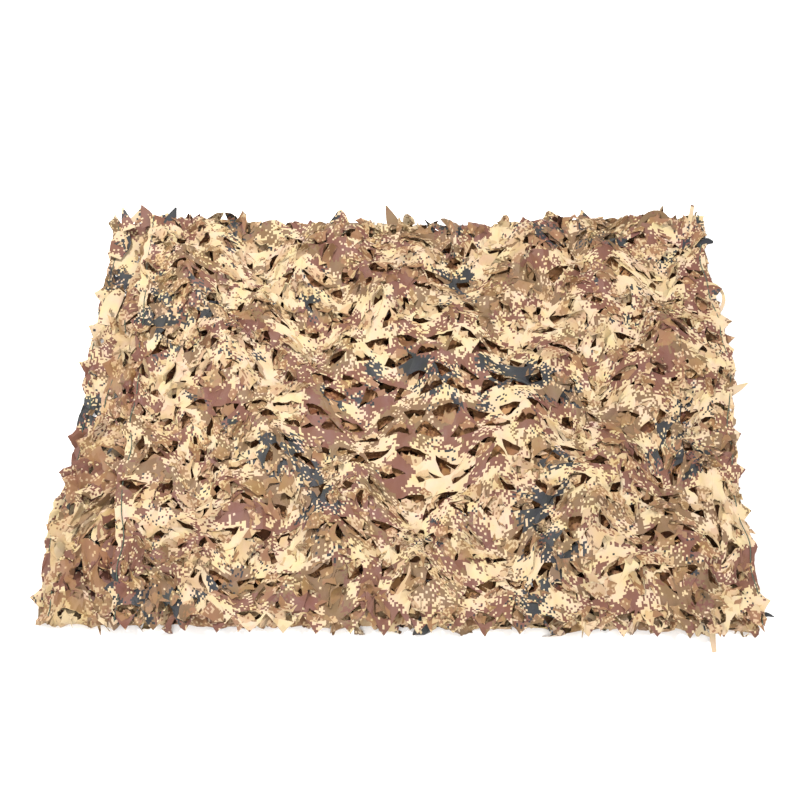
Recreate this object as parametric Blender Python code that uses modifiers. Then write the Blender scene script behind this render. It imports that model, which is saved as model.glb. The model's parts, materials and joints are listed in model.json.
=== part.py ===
"""Camouflage net of incised cloth, folded back and forth in three layers and laid flat.

Metres, +Z up.  X runs along the folds, Y from the front fold to the back fold, and the
underside of the bottom layer lies at Z = 0, with the origin at the middle of the box
round the whole net.

The net is first laid out flat in cloth coordinates: across its width, along its length
and height over its face.  It starts at the front edge of the top layer, which is then
led over the back fold, the middle layer, the front fold and the bottom layer.
"""

import math
import random

import bmesh
import bpy
from mathutils import Matrix, Vector

# The folded stack
DEPTH = 1.03
CLOTH_WIDTH = 1.44
CLOTH_THICKNESS = 0.002
TOP_LEVEL = 0.038
MIDDLE_LEVEL = 0.020
BACK_SAG = 0.030
UNEVENNESS = 0.12

# The lattice of cut cells, at twice the pitch of the real net
COLUMNS = 10
ROWS_IN_A_LAYER = 11
GAP_WIDTH = 0.112
GAP_DEPTH = 0.078
CROSSING_RISE = 0.003
COVERED_FROM = -0.50

# Leaves: the pointed tongues in the gaps and along the edges
LEAF_REACH = 0.024
LEAF_DRIFT = 0.014
FOLD_LEAF_RISE = 0.020
EDGE_LEAF_REACH = (0.010, 0.028)
EDGE_LEAF_RISE = 0.004
TAIL_ACROSS = 0.609
TAIL_WIDTH = 0.012
TAIL_LENGTH = 0.072
TAIL_STEPS = 8
SEED = 11

# Cords laced along both long edges
CORD_RADIUS = 0.00125
CORD_INSET = 0.012
CORD_CLEARANCE = 0.0006

FOLD_STEPS = 4
TINY = 0.00001

# Lengths that follow from the stack
BACK_RADIUS = (TOP_LEVEL - MIDDLE_LEVEL) / 2
FRONT_RADIUS = MIDDLE_LEVEL / 2
DROP_RADIUS = TOP_LEVEL / 2
BACK_CENTRE_Y = DEPTH / 2 - BACK_RADIUS - CLOTH_THICKNESS
FRONT_CENTRE_Y = FRONT_RADIUS - DEPTH / 2
BACK_ARC = math.pi * BACK_RADIUS
FRONT_ARC = math.pi * FRONT_RADIUS
LAYER_LENGTH = BACK_ARC / 2 + BACK_CENTRE_Y - FRONT_CENTRE_Y + FRONT_ARC / 2
ROWS = 3 * ROWS_IN_A_LAYER
ROW_PITCH = LAYER_LENGTH / ROWS_IN_A_LAYER
CLOTH_LENGTH = 3 * LAYER_LENGTH
BACK_FOLD_START = LAYER_LENGTH - BACK_ARC / 2
BACK_FOLD_END = LAYER_LENGTH + BACK_ARC / 2
FRONT_FOLD_START = 2 * LAYER_LENGTH - FRONT_ARC / 2
FRONT_FOLD_END = 2 * LAYER_LENGTH + FRONT_ARC / 2
FRONT_EDGE_Y = BACK_CENTRE_Y - BACK_FOLD_START
CORD_ACROSS = CLOTH_WIDTH / 2 - CORD_INSET

# Where the two long edges lie: distance along the cloth, left X, right X
LONG_EDGES = (
    (0.0, -0.575, 0.722),
    (LAYER_LENGTH, -0.620, 0.700),
    (2 * LAYER_LENGTH, -0.722, 0.712),
    (CLOTH_LENGTH, -0.710, 0.690),
)

# Up to where along the cloth each layer reaches, the side of the face that lies upwards,
# and how far over the cloth the lip of a gap and the tip of its leaf stand
LAYERS = (
    (LAYER_LENGTH, 1, 0.008, 0.015),
    (2 * LAYER_LENGTH, -1, 0.003, 0.005),
    (CLOTH_LENGTH, 1, 0.0, 0.008),
)

# Slow swells of the stack: waves over its width, waves over its depth, phase, share
SWELLS = (
    (1.3, 0.6, 0.4, 0.45),
    (-2.1, 1.7, 1.9, 0.30),
    (3.4, 2.6, 4.0, 0.25),
)

# Name, colour, roughness
CLOTH_FINISH = ("sand_cloth", (0.78, 0.60, 0.36, 1.0), 0.75)
CORD_FINISH = ("green_twine", (0.05, 0.09, 0.06, 1.0), 0.85)


def section(along):
    """Place and face normal of the folded section: y, z, normal y, normal z."""
    if along < 0:
        return front_drop(-along)
    if along < BACK_FOLD_START:
        return FRONT_EDGE_Y + along, TOP_LEVEL, 0.0, 1.0
    if along < BACK_FOLD_END:
        turn = (along - BACK_FOLD_START) / BACK_RADIUS
        y = BACK_CENTRE_Y + BACK_RADIUS * math.sin(turn)
        z = TOP_LEVEL - BACK_RADIUS * (1 - math.cos(turn))
        return y, z, math.sin(turn), math.cos(turn)
    if along < FRONT_FOLD_START:
        return BACK_CENTRE_Y - (along - BACK_FOLD_END), MIDDLE_LEVEL, 0.0, -1.0
    if along < FRONT_FOLD_END:
        turn = (along - FRONT_FOLD_START) / FRONT_RADIUS
        y = FRONT_CENTRE_Y - FRONT_RADIUS * math.sin(turn)
        z = FRONT_RADIUS * (1 + math.cos(turn))
        return y, z, math.sin(turn), -math.cos(turn)
    return FRONT_CENTRE_Y + along - FRONT_FOLD_END, 0.0, 0.0, 1.0


def front_drop(beyond):
    """What hangs past the front edge of the top layer bends down to the floor and lies there."""
    quarter = DROP_RADIUS * math.pi / 2
    if beyond < quarter:
        turn = beyond / DROP_RADIUS
        y = FRONT_EDGE_Y - DROP_RADIUS * math.sin(turn)
        z = TOP_LEVEL - DROP_RADIUS * (1 - math.cos(turn))
        return y, z, -math.sin(turn), math.cos(turn)
    if beyond < 2 * quarter:
        turn = beyond / DROP_RADIUS - math.pi / 2
        y = FRONT_EDGE_Y - DROP_RADIUS * (2 - math.cos(turn))
        z = DROP_RADIUS * (1 - math.sin(turn))
        return y, z, -math.cos(turn), math.sin(turn)
    return FRONT_EDGE_Y - 2 * DROP_RADIUS - (beyond - 2 * quarter), 0.0, 0.0, 1.0


def long_edges(along):
    """X of the left and the right edge at a distance along the cloth."""
    inside = min(max(along, 0.0), CLOTH_LENGTH)
    for (start, *first), (end, *second) in zip(LONG_EDGES, LONG_EDGES[1:]):
        if inside <= end:
            share = (inside - start) / (end - start)
            return [a + (b - a) * share for a, b in zip(first, second)]
    return LONG_EDGES[-1][1:]


def swell(x, y):
    """Slow rise and fall of the stack over the floor, between -1 and 1."""
    return sum(
        share * math.sin(2 * math.pi * (across * x / CLOTH_WIDTH + deep * y / DEPTH) + phase)
        for across, deep, phase, share in SWELLS
    )


def folded(across, along, height):
    """World place of a point of the flat cloth once it is folded; the floor is under the last layer."""
    if along > 2 * LAYER_LENGTH + TINY:
        height = max(height, 0.0)
    y, z, normal_y, normal_z = section(along)
    left, right = long_edges(along)
    x = left + (right - left) * (across / CLOTH_WIDTH + 0.5)
    y += normal_y * height
    z += normal_z * height
    backward = min(max(y / DEPTH + 0.5, 0.0), 1.0)
    y -= BACK_SAG * backward * math.cos(math.pi * x / CLOTH_WIDTH) ** 2
    z *= 1 + UNEVENNESS * swell(x, y)
    return Vector((x, y, z))


def layer_at(along):
    """Upward side of the face, rise of a lip and rise of a leaf in the layer at this distance."""
    return next(row[1:] for row in LAYERS if along < row[0] + TINY)


def diamond_cells():
    """Flat net of diamond cells, one for each gap, with triangles along its edges."""
    net = bmesh.new()
    flat = Matrix.Translation((0, CLOTH_LENGTH / 2, 0)) @ Matrix.Diagonal(
        (CLOTH_WIDTH, CLOTH_LENGTH, 1, 1)
    )
    bmesh.ops.create_grid(net, x_segments=2 * COLUMNS, y_segments=ROWS, size=0.5, matrix=flat)

    def is_crossing(vertex):
        column = round((vertex.co.x / CLOTH_WIDTH + 0.5) * 2 * COLUMNS)
        row = round(vertex.co.y / CLOTH_LENGTH * ROWS)
        return (column + row) % 2 == 0

    for face in net.faces[:]:
        first, second = [vertex for vertex in face.verts if is_crossing(vertex)]
        bmesh.utils.face_split(face, first, second)
    middles = [v for v in net.verts if not v.is_boundary and not is_crossing(v)]
    bmesh.ops.dissolve_verts(net, verts=middles)
    return net


def add_leaf(net, edge, tip):
    """A pointed leaf that hangs on the cloth by one edge."""
    grown = bmesh.ops.extrude_edge_only(net, edges=[edge])["geom"]
    ends = [part for part in grown if isinstance(part, bmesh.types.BMVert)]
    bmesh.ops.pointmerge(net, verts=ends, merge_co=tip)


def lift_crossings(net, chance):
    """Uneven height of the crossings, on the two layers that don't lie on the floor."""
    for vertex in net.verts:
        side, lip_rise, _ = layer_at(vertex.co.y)
        if lip_rise and not vertex.is_boundary:
            vertex.co.z = side * CROSSING_RISE * chance.uniform(-0.5, 0.5) * lip_rise / LAYERS[0][2]


def cut_gaps(net, chance):
    """Open every whole cell, and leave a leaf in each gap that shows."""
    cells = [face for face in net.faces if len(face.verts) == 4 and not is_covered_border(face)]
    bmesh.ops.inset_individual(net, faces=cells, thickness=10 * TINY, use_even_offset=True)
    share_of_cell = (GAP_WIDTH * COLUMNS / CLOTH_WIDTH, GAP_DEPTH / ROW_PITCH / 2, 1)
    leaves = []
    for cell in cells:
        middle = cell.calc_center_median()
        about_middle = Matrix.Translation(-middle)
        bmesh.ops.scale(net, vec=share_of_cell, space=about_middle, verts=cell.verts)
        on_fold = abs(middle.y - 2 * LAYER_LENGTH) < TINY
        if middle.x < COVERED_FROM or middle.y < LAYER_LENGTH + TINY or on_fold:
            leaves.append(leaf_in_gap(cell, middle, chance))
    bmesh.ops.delete(net, geom=cells, context="FACES_ONLY")
    for edge, tip in leaves:
        add_leaf(net, edge, tip)


def is_covered_border(cell):
    """Whether a cell lies at the right edge of the middle layer, which the top layer covers."""
    middle = cell.calc_center_median()
    in_middle_layer = LAYER_LENGTH + TINY < middle.y < 2 * LAYER_LENGTH - TINY
    return in_middle_layer and middle.x > CLOTH_WIDTH * (0.5 - 0.8 / COLUMNS)


def leaf_in_gap(cell, middle, chance):
    """The edge of a gap that carries its leaf, and the leaf's tip.

    The leaf hangs from the side of the gap that lies further back, to the left or right,
    and the lip on the other side stands up.  On a fold the leaf sticks out of the fold.
    """
    side, lip_rise, leaf_rise = layer_at(middle.y)
    hand = chance.choice((-1, 1))
    across = middle.x - hand * LEAF_DRIFT * chance.uniform(-0.5, 1.0)
    for fold, outward in ((LAYER_LENGTH, 1), (2 * LAYER_LENGTH, -1)):
        if abs(middle.y - fold) < TINY:
            rise = outward * FOLD_LEAF_RISE * chance.uniform(0.4, 1.0)
            return side_edge(cell, middle, hand, -1), Vector((across, middle.y, rise))
    front_lip = min(cell.verts, key=lambda vertex: vertex.co.y * side)
    front_lip.co.z += side * lip_rise * chance.uniform(0.4, 1.0)
    along = middle.y - side * LEAF_REACH * chance.uniform(0.5, 1.0)
    rise = side * leaf_rise * chance.uniform(0.6, 1.0)
    return side_edge(cell, middle, hand, side), Vector((across, along, rise))


def side_edge(cell, middle, hand, way):
    """The edge of a gap on one hand of its middle, and on one way along the cloth from it."""

    def nearness(edge):
        offset = (edge.verts[0].co + edge.verts[1].co) / 2 - middle
        return offset.x * hand + offset.y * way

    return max(cell.edges, key=nearness)


def outer_edges(net):
    """Edges of the flat cloth's outline, without those around the gaps."""
    limits = (CLOTH_WIDTH / 2 - TINY, CLOTH_LENGTH / 2 - TINY)

    def on_outline(edge):
        places = [v.co - Vector((0, CLOTH_LENGTH / 2, 0)) for v in edge.verts]
        return any(all(abs(place[axis]) > limits[axis] for place in places) for axis in (0, 1))

    return [edge for edge in net.edges if edge.is_boundary and on_outline(edge)]


def fringe_outline(net, chance):
    """Ragged outline: a short pointed leaf on every stretch of edge, and the loose tail."""
    bmesh.ops.subdivide_edges(net, edges=outer_edges(net), cuts=1)
    tail_edge = min(
        (edge for edge in outer_edges(net) if edge.verts[0].co.y < TINY > edge.verts[1].co.y),
        key=lambda edge: abs((edge.verts[0].co.x + edge.verts[1].co.x) / 2 - TAIL_ACROSS),
    )
    for edge in outer_edges(net):
        if edge is tail_edge:
            continue
        middle = (edge.verts[0].co + edge.verts[1].co) / 2
        reach = chance.uniform(*EDGE_LEAF_REACH)
        if abs(middle.x) > CLOTH_WIDTH / 2 - TINY:
            outward = Vector((math.copysign(reach, middle.x), reach * chance.uniform(-0.5, 0.5), 0))
        else:
            outward = Vector((reach * chance.uniform(-0.5, 0.5), reach, 0))
            outward.y *= -1 if middle.y < CLOTH_LENGTH / 2 else 1
        outward.z = layer_at(middle.y)[0] * EDGE_LEAF_RISE * chance.uniform(0.0, 1.0)
        add_leaf(net, edge, middle + outward)
    add_tail(net, tail_edge)


def add_tail(net, edge):
    """Loose strip that hangs over the front edge and ends on the floor."""
    middle_x = (edge.verts[0].co.x + edge.verts[1].co.x) / 2
    for step in range(TAIL_STEPS):
        grown = bmesh.ops.extrude_edge_only(net, edges=[edge])["geom"]
        edge = next(part for part in grown if isinstance(part, bmesh.types.BMEdge))
        for vertex in edge.verts:
            side = math.copysign(TAIL_WIDTH / 2, vertex.co.x - middle_x)
            vertex.co.x = middle_x + side
            vertex.co.y = -TAIL_LENGTH * (step + 1) / TAIL_STEPS


def cut_line(net, place, direction):
    """Cut every face that a straight line over the flat cloth crosses."""
    everything = net.verts[:] + net.edges[:] + net.faces[:]
    bmesh.ops.bisect_plane(net, geom=everything, plane_co=place, plane_no=direction, dist=TINY)


def cut_folds(net):
    """Cross cuts that let the cloth bend round at the two folds."""
    for start, end in ((BACK_FOLD_START, BACK_FOLD_END), (FRONT_FOLD_START, FRONT_FOLD_END)):
        for step in range(FOLD_STEPS + 1):
            along = start + (end - start) * step / FOLD_STEPS
            cut_line(net, (0, along, 0), (0, 1, 0))


def material(name, colour, roughness):
    """Plain dielectric material."""
    made = bpy.data.materials.new(name)
    made.use_nodes = True
    shader = made.node_tree.nodes["Principled BSDF"]
    shader.inputs["Base Color"].default_value = colour
    shader.inputs["Roughness"].default_value = roughness
    shader.inputs["Metallic"].default_value = 0.0
    return made


def make_net_cloth():
    """Mesh of the whole folded net, and the distances along it of the points of its cords."""
    chance = random.Random(SEED)
    net = diamond_cells()
    lift_crossings(net, chance)
    cut_gaps(net, chance)
    cut_folds(net)
    for side in (-1, 1):
        cut_line(net, (side * CORD_ACROSS, 0, 0), (1, 0, 0))
    fringe_outline(net, chance)
    bmesh.ops.triangulate(net, faces=net.faces[:])
    net.normal_update()
    for face in net.faces:
        if face.normal.z < 0:
            face.normal_flip()
    stations = [
        sorted(v.co.y for v in net.verts if abs(v.co.x - side * CORD_ACROSS) < TINY)
        for side in (-1, 1)
    ]
    for vertex in net.verts:
        vertex.co = folded(*vertex.co)
    mesh = bpy.data.meshes.new("net_cloth")
    net.to_mesh(mesh)
    net.free()
    return mesh, stations


def add_cloth(collection, mesh):
    """The net as a solid as thick as its cloth."""
    cloth = bpy.data.objects.new("net_cloth", mesh)
    cloth.data.materials.append(material(*CLOTH_FINISH))
    thickness = cloth.modifiers.new("Thickness", "SOLIDIFY")
    thickness.thickness = CLOTH_THICKNESS
    thickness.offset = 1.0
    collection.objects.link(cloth)


def add_cord(collection, name, side, stations, middle):
    """Twine laid along one long edge of the net, over all three layers."""
    curve = bpy.data.curves.new(name, "CURVE")
    curve.dimensions = "3D"
    curve.bevel_depth = CORD_RADIUS
    curve.bevel_resolution = 2
    curve.use_fill_caps = True
    line = curve.splines.new("POLY")
    line.points.add(len(stations) - 1)
    height = CLOTH_THICKNESS + CORD_CLEARANCE + CORD_RADIUS
    for point, along in zip(line.points, stations):
        point.co = (*folded(side * CORD_ACROSS, along, height) - middle, 1.0)
    cord = bpy.data.objects.new(name, curve)
    cord.data.materials.append(material(*CORD_FINISH))
    collection.objects.link(cord)


def box_middle(mesh):
    """Middle of a mesh's box on the floor."""
    lowest = [min(vertex.co[axis] for vertex in mesh.vertices) for axis in (0, 1)]
    highest = [max(vertex.co[axis] for vertex in mesh.vertices) for axis in (0, 1)]
    return Vector([(low + high) / 2 for low, high in zip(lowest, highest)] + [0.0])


def main():
    for old in list(bpy.data.objects):
        bpy.data.objects.remove(old)
    collection = bpy.data.collections.new("camouflage_net")
    bpy.context.scene.collection.children.link(collection)
    mesh, (left_stations, right_stations) = make_net_cloth()
    middle = box_middle(mesh)
    mesh.transform(Matrix.Translation(-middle))
    add_cloth(collection, mesh)
    add_cord(collection, "selvage_cord_left", -1, left_stations, middle)
    add_cord(collection, "selvage_cord_right", 1, right_stations, middle)


main()
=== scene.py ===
"""Camouflage net folded flat in three layers, built in detail over its CAD model.

Metres.  The net is laid out flat first: across its width, along its length and height over
its face.  It is then folded just as the CAD model's own cloth is.
"""

import json
import math
import random

import bpy
import numpy as np
from bpy.props import FloatProperty, FloatVectorProperty, IntProperty, PointerProperty
from mathutils import Matrix, Vector

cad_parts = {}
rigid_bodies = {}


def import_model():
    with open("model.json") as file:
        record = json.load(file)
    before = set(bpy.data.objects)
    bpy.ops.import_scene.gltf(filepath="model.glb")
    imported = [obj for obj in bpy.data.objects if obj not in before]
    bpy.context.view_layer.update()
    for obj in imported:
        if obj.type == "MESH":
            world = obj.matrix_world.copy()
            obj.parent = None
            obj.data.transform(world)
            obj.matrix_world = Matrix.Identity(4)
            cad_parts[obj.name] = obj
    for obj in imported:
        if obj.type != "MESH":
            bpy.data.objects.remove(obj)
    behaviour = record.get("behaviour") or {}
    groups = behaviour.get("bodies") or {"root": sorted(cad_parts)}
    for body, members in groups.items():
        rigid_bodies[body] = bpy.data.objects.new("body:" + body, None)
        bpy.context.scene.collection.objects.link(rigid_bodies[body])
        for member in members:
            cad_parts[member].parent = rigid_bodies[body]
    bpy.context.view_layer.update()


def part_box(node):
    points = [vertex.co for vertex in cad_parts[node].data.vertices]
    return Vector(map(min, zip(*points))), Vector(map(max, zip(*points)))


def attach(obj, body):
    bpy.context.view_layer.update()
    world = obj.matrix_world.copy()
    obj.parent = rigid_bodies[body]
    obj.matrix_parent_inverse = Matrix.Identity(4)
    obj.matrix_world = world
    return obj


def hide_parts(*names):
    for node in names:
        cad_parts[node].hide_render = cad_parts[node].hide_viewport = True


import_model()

bl_info = {
    "name": "Camouflage net, folded",
    "version": (1, 0, 0),
    "blender": (4, 5, 0),
    "location": "3D View > Sidebar > Net",
    "description": "Builds a cut and folded camouflage net with its selvage twines",
    "category": "Object",
}

# The folded stack, as in the CAD model
DEPTH = 1.03
CLOTH_WIDTH = 1.44
CAD_CLOTH_THICKNESS = 0.002
TOP_LEVEL = 0.038
MIDDLE_LEVEL = 0.020
BACK_SAG = 0.030
UNEVENNESS = 0.12
CORD_RADIUS = 0.00125
CORD_INSET = 0.012
CORD_CLEARANCE = 0.0006

BACK_RADIUS = (TOP_LEVEL - MIDDLE_LEVEL) / 2
FRONT_RADIUS = MIDDLE_LEVEL / 2
DROP_RADIUS = TOP_LEVEL / 2
BACK_CENTRE_Y = DEPTH / 2 - BACK_RADIUS - CAD_CLOTH_THICKNESS
FRONT_CENTRE_Y = FRONT_RADIUS - DEPTH / 2
BACK_ARC = math.pi * BACK_RADIUS
FRONT_ARC = math.pi * FRONT_RADIUS
DROP_ARC = math.pi * DROP_RADIUS / 2
LAYER_LENGTH = BACK_ARC / 2 + BACK_CENTRE_Y - FRONT_CENTRE_Y + FRONT_ARC / 2
CLOTH_LENGTH = 3 * LAYER_LENGTH
BACK_FOLD_START = LAYER_LENGTH - BACK_ARC / 2
BACK_FOLD_END = LAYER_LENGTH + BACK_ARC / 2
FRONT_FOLD_START = 2 * LAYER_LENGTH - FRONT_ARC / 2
FRONT_FOLD_END = 2 * LAYER_LENGTH + FRONT_ARC / 2
FRONT_EDGE_Y = BACK_CENTRE_Y - BACK_FOLD_START
CORD_ACROSS = CLOTH_WIDTH / 2 - CORD_INSET

# Distance along the cloth, X of its left edge, X of its right edge
LONG_EDGES = (
    (0.0, -0.575, 0.722),
    (LAYER_LENGTH, -0.620, 0.700),
    (2 * LAYER_LENGTH, -0.722, 0.712),
    (CLOTH_LENGTH, -0.710, 0.690),
)

# Slow swells of the stack: waves over its width, waves over its depth, phase, share
SWELLS = ((1.3, 0.6, 0.4, 0.45), (-2.1, 1.7, 1.9, 0.30), (3.4, 2.6, 4.0, 0.25))

# The real net's lattice, with its first row's place in rows and the points round a gap
COLUMNS = 20
ROWS_IN_A_LAYER = 22
PITCH = CLOTH_WIDTH / COLUMNS
ROW_PITCH = LAYER_LENGTH / ROWS_IN_A_LAYER
FIRST_ROW = 0.6
RING = 20

# Lowest point of the cloth, and the level over which its rise is held back to the top room
FLOOR_GAP = 0.0005
CALM_LEVEL = 0.052
TOP_ROOM = 0.018

# The calm middle of the top layer, and how lively the cloth is elsewhere
CALM_WIDTH = 0.26
CALM_ALONG = 0.52
CALM_LENGTH = 0.22
UNREST = 0.70
CALMING = 0.38

# The open margin beside the top layer: most rise of its leaves, added crumple, soft border
MARGIN_RISE = 0.034
MARGIN_CRUMPLE = 0.6
MARGIN_BLEND = 0.03

# How the long edges wave: radians for each metre along, phase, reach
EDGE_WAVES = ((13.0, 0.6, 0.005), (31.0, 2.0, 0.003), (57.0, 4.0, 0.002))

# Where the margins bulge out: side, from which x on, soft border, y, length, reach
BULGES = ((-1, -0.52, 0.15, -0.33, 0.17, 0.020), (1, 0.62, 0.10, 0.17, 0.15, 0.024))

# Distance along the cloth, which way up its face is, most rise and most dip of its leaves
REACHES = (
    (-0.20, 1, 0.016, 0.006),
    (0.00, 1, 0.026, 0.006),
    (0.05, 1, 0.030, 0.006),
    (BACK_FOLD_START, 1, 0.030, 0.006),
    (BACK_FOLD_END, 1, 0.028, 0.006),
    (BACK_FOLD_END + 0.02, -1, 0.012, 0.004),
    (FRONT_FOLD_START, -1, 0.013, 0.004),
    (FRONT_FOLD_END, -1, 0.018, 0.004),
    (FRONT_FOLD_END + 0.02, 1, 0.013, 0.0),
    (CLOTH_LENGTH - 0.03, 1, 0.013, 0.0),
    (CLOTH_LENGTH + 0.10, 1, 0.016, 0.0),
)
# Stands in for a dip or rise of nothing where a height is divided by it
LEAST_REACH = 0.001


# ---------------------------------------------------------------- folding the flat cloth

# Runs of the folded section: where each starts along the cloth, y and z there, its heading
# and its curvature.  The first holds for all that lies before it, out on the floor.
RUNS = np.array(
    (
        (-2 * DROP_ARC, FRONT_EDGE_Y - 2 * DROP_RADIUS, 0, 0, 0),
        (-2 * DROP_ARC, FRONT_EDGE_Y - 2 * DROP_RADIUS, 0, 0, 1 / DROP_RADIUS),
        (-DROP_ARC, FRONT_EDGE_Y - DROP_RADIUS, DROP_RADIUS, math.pi / 2, -1 / DROP_RADIUS),
        (0, FRONT_EDGE_Y, TOP_LEVEL, 0, 0),
        (BACK_FOLD_START, BACK_CENTRE_Y, TOP_LEVEL, 0, -1 / BACK_RADIUS),
        (BACK_FOLD_END, BACK_CENTRE_Y, MIDDLE_LEVEL, -math.pi, 0),
        (FRONT_FOLD_START, FRONT_CENTRE_Y, MIDDLE_LEVEL, -math.pi, 1 / FRONT_RADIUS),
        (FRONT_FOLD_END, FRONT_CENTRE_Y, 0, 0, 0),
    )
)


def section(along):
    """Place and face normal of the folded section: y, z, normal y, normal z."""
    run = np.searchsorted(RUNS[1:, 0], along, side="right")
    start, y, z, heading, curvature = RUNS[run].T
    turn = curvature * (along - start)
    chord = (along - start) * np.sinc(turn / (2 * math.pi))
    y = y + chord * np.cos(heading + turn / 2)
    z = z + chord * np.sin(heading + turn / 2)
    return y, z, -np.sin(heading + turn), np.cos(heading + turn)


def swell(x, y):
    """Slow rise and fall of the stack over the floor, between -1 and 1."""
    return sum(
        share * np.sin(2 * math.pi * (across * x / CLOTH_WIDTH + deep * y / DEPTH) + phase)
        for across, deep, phase, share in SWELLS
    )


def edges_at(along):
    """X of the cloth's left and right edge."""
    stations, left, right = np.array(LONG_EDGES).T
    return np.interp(along, stations, left), np.interp(along, stations, right)


def straight_x(across, along):
    """X of a point of the cloth before its edges wave and bulge."""
    left, right = edges_at(along)
    return left + (right - left) * (across / CLOTH_WIDTH + 0.5)


def cad_shift():
    """From the folded stack's own axes to those of the CAD model, read from its two cords."""
    left_low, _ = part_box("selvage_cord_left")
    _, right_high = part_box("selvage_cord_right")
    cord_x = straight_x(CORD_ACROSS, 0.0) + CORD_RADIUS
    return np.array((right_high.x - cord_x, left_low.y - FRONT_EDGE_Y, 0.0))


def folded(flat):
    """World places of points of the flat cloth, given as across, along and height."""
    across, along, height = flat.T
    height = np.where(along > FRONT_FOLD_END, np.maximum(height, 0.0), height)
    y, z, normal_y, normal_z = section(along)
    x = straight_x(across, along)
    for waves, phase, reach in EDGE_WAVES:
        x = x + reach * (2 * across / CLOTH_WIDTH) ** 2 * np.sin(waves * along + phase)
    for side, from_x, blend, middle, length, reach in BULGES:
        at_margin = np.clip(side * (x - from_x) / blend, 0, 1)
        x = x + side * reach * at_margin * np.exp(-(((y - middle) / length) ** 2))
    y = y + normal_y * height
    z = z + normal_z * height
    backward = np.clip(y / DEPTH + 0.5, 0.0, 1.0)
    y = y - BACK_SAG * backward * np.cos(math.pi * x / CLOTH_WIDTH) ** 2
    z = np.maximum(z * (1 + UNEVENNESS * swell(x, y)), FLOOR_GAP)
    above = np.maximum(z - CALM_LEVEL, 0.0)
    z = np.minimum(z, CALM_LEVEL) + TOP_ROOM * np.tanh(above / TOP_ROOM)
    return np.column_stack((x, y, z)) + cad_shift()


def open_above(flat):
    """How far a point of a lower layer lies clear of the top layer's left edge, from 0 to 1."""
    across, along, _ = flat.T
    top_left, _ = edges_at(section(along)[0] - FRONT_EDGE_Y)
    clear = np.clip((top_left - straight_x(across, along)) / MARGIN_BLEND, 0.0, 1.0)
    return clear * (along > BACK_FOLD_END)


def settled(flat):
    """Heights made to fit between the layers, and turned to the side that lies upwards."""
    stations, way_up, most_rise, most_dip = np.array(REACHES).T
    along = flat[:, 1]
    rise = np.interp(along, stations, most_rise)
    dip = np.interp(along, stations, most_dip)
    in_margin = open_above(flat)
    calm = np.exp(-((flat[:, 0] / CALM_WIDTH) ** 2) - ((along - CALM_ALONG) / CALM_LENGTH) ** 2)
    height = flat[:, 2] * (1 + MARGIN_CRUMPLE * in_margin) * (UNREST - CALMING * calm)
    rise = rise + (MARGIN_RISE - rise) * in_margin
    upper = rise * np.tanh(np.maximum(height, 0) / np.maximum(rise, LEAST_REACH))
    lower = dip * np.tanh(np.minimum(height, 0) / np.maximum(dip, LEAST_REACH))
    fitted = flat.copy()
    fitted[:, 2] = (upper + lower) * np.interp(along, stations, way_up)
    return fitted


# ---------------------------------------------------------------- one cell of the net


def cell_outline(pitch, row_pitch):
    """The straight sides of one diamond cell, anticlockwise from its right corner."""
    corners = [
        Vector((pitch / 2, 0)),
        Vector((0, row_pitch)),
        Vector((-pitch / 2, 0)),
        Vector((0, -row_pitch)),
    ]
    steps = RING // len(corners)
    return [
        start.lerp(end, step / steps)
        for start, end in zip(corners, corners[1:] + corners[:1])
        for step in range(steps)
    ]


# Leaf shapes: name, widths from root to tip, depth of the notch in the tip, lean of the tip
LEAF_SHAPES = {
    "fish_tail": ((0.85, 0.62, 0.50, 0.62, 0.85, 1.00), 0.30, 0.15),
    "swallow": ((0.90, 0.78, 0.70, 0.78, 0.90, 0.95), 0.45, -0.20),
    "hook": ((1.00, 0.92, 0.80, 0.62, 0.38, 0.04), -0.10, 0.60),
    "flag": ((0.92, 0.86, 0.84, 0.84, 0.82, 0.78), 0.0, 0.65),
    "spear": ((0.78, 0.80, 0.74, 0.58, 0.34, 0.03), -0.12, 0.20),
    "short_hook": ((0.90, 0.62, 0.30, 0.03), -0.10, 0.50),
    "stub": ((0.90, 0.75, 0.60, 0.48), 0.10, -0.60),
    "fork": ((0.80, 0.55, 1.15), 0.45, 0.20),
    "arrow": ((0.95, 1.20, 0.05), 0.0, 0.30),
    "tooth": ((1.00, 0.70, 0.06), -0.10, -0.50),
    "kite": ((1.35, 0.80, 0.04), 0.0, 0.20),
    "wing": ((0.80, 1.20, 0.70), 0.25, 0.80),
    "split": ((0.90, 0.85, 1.25), 0.60, -0.30),
}
# How much wider a leaf grows towards its tip, shares of its bend and roll that it keeps, its
# deepest crease, and how many degrees its aim strays
LEAF_WIDEN = 1.35
LEAF_BEND = 0.35
LEAF_ROLL = 0.6
LEAF_CREASE = 0.75
LEAF_STRAY = 8

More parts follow.
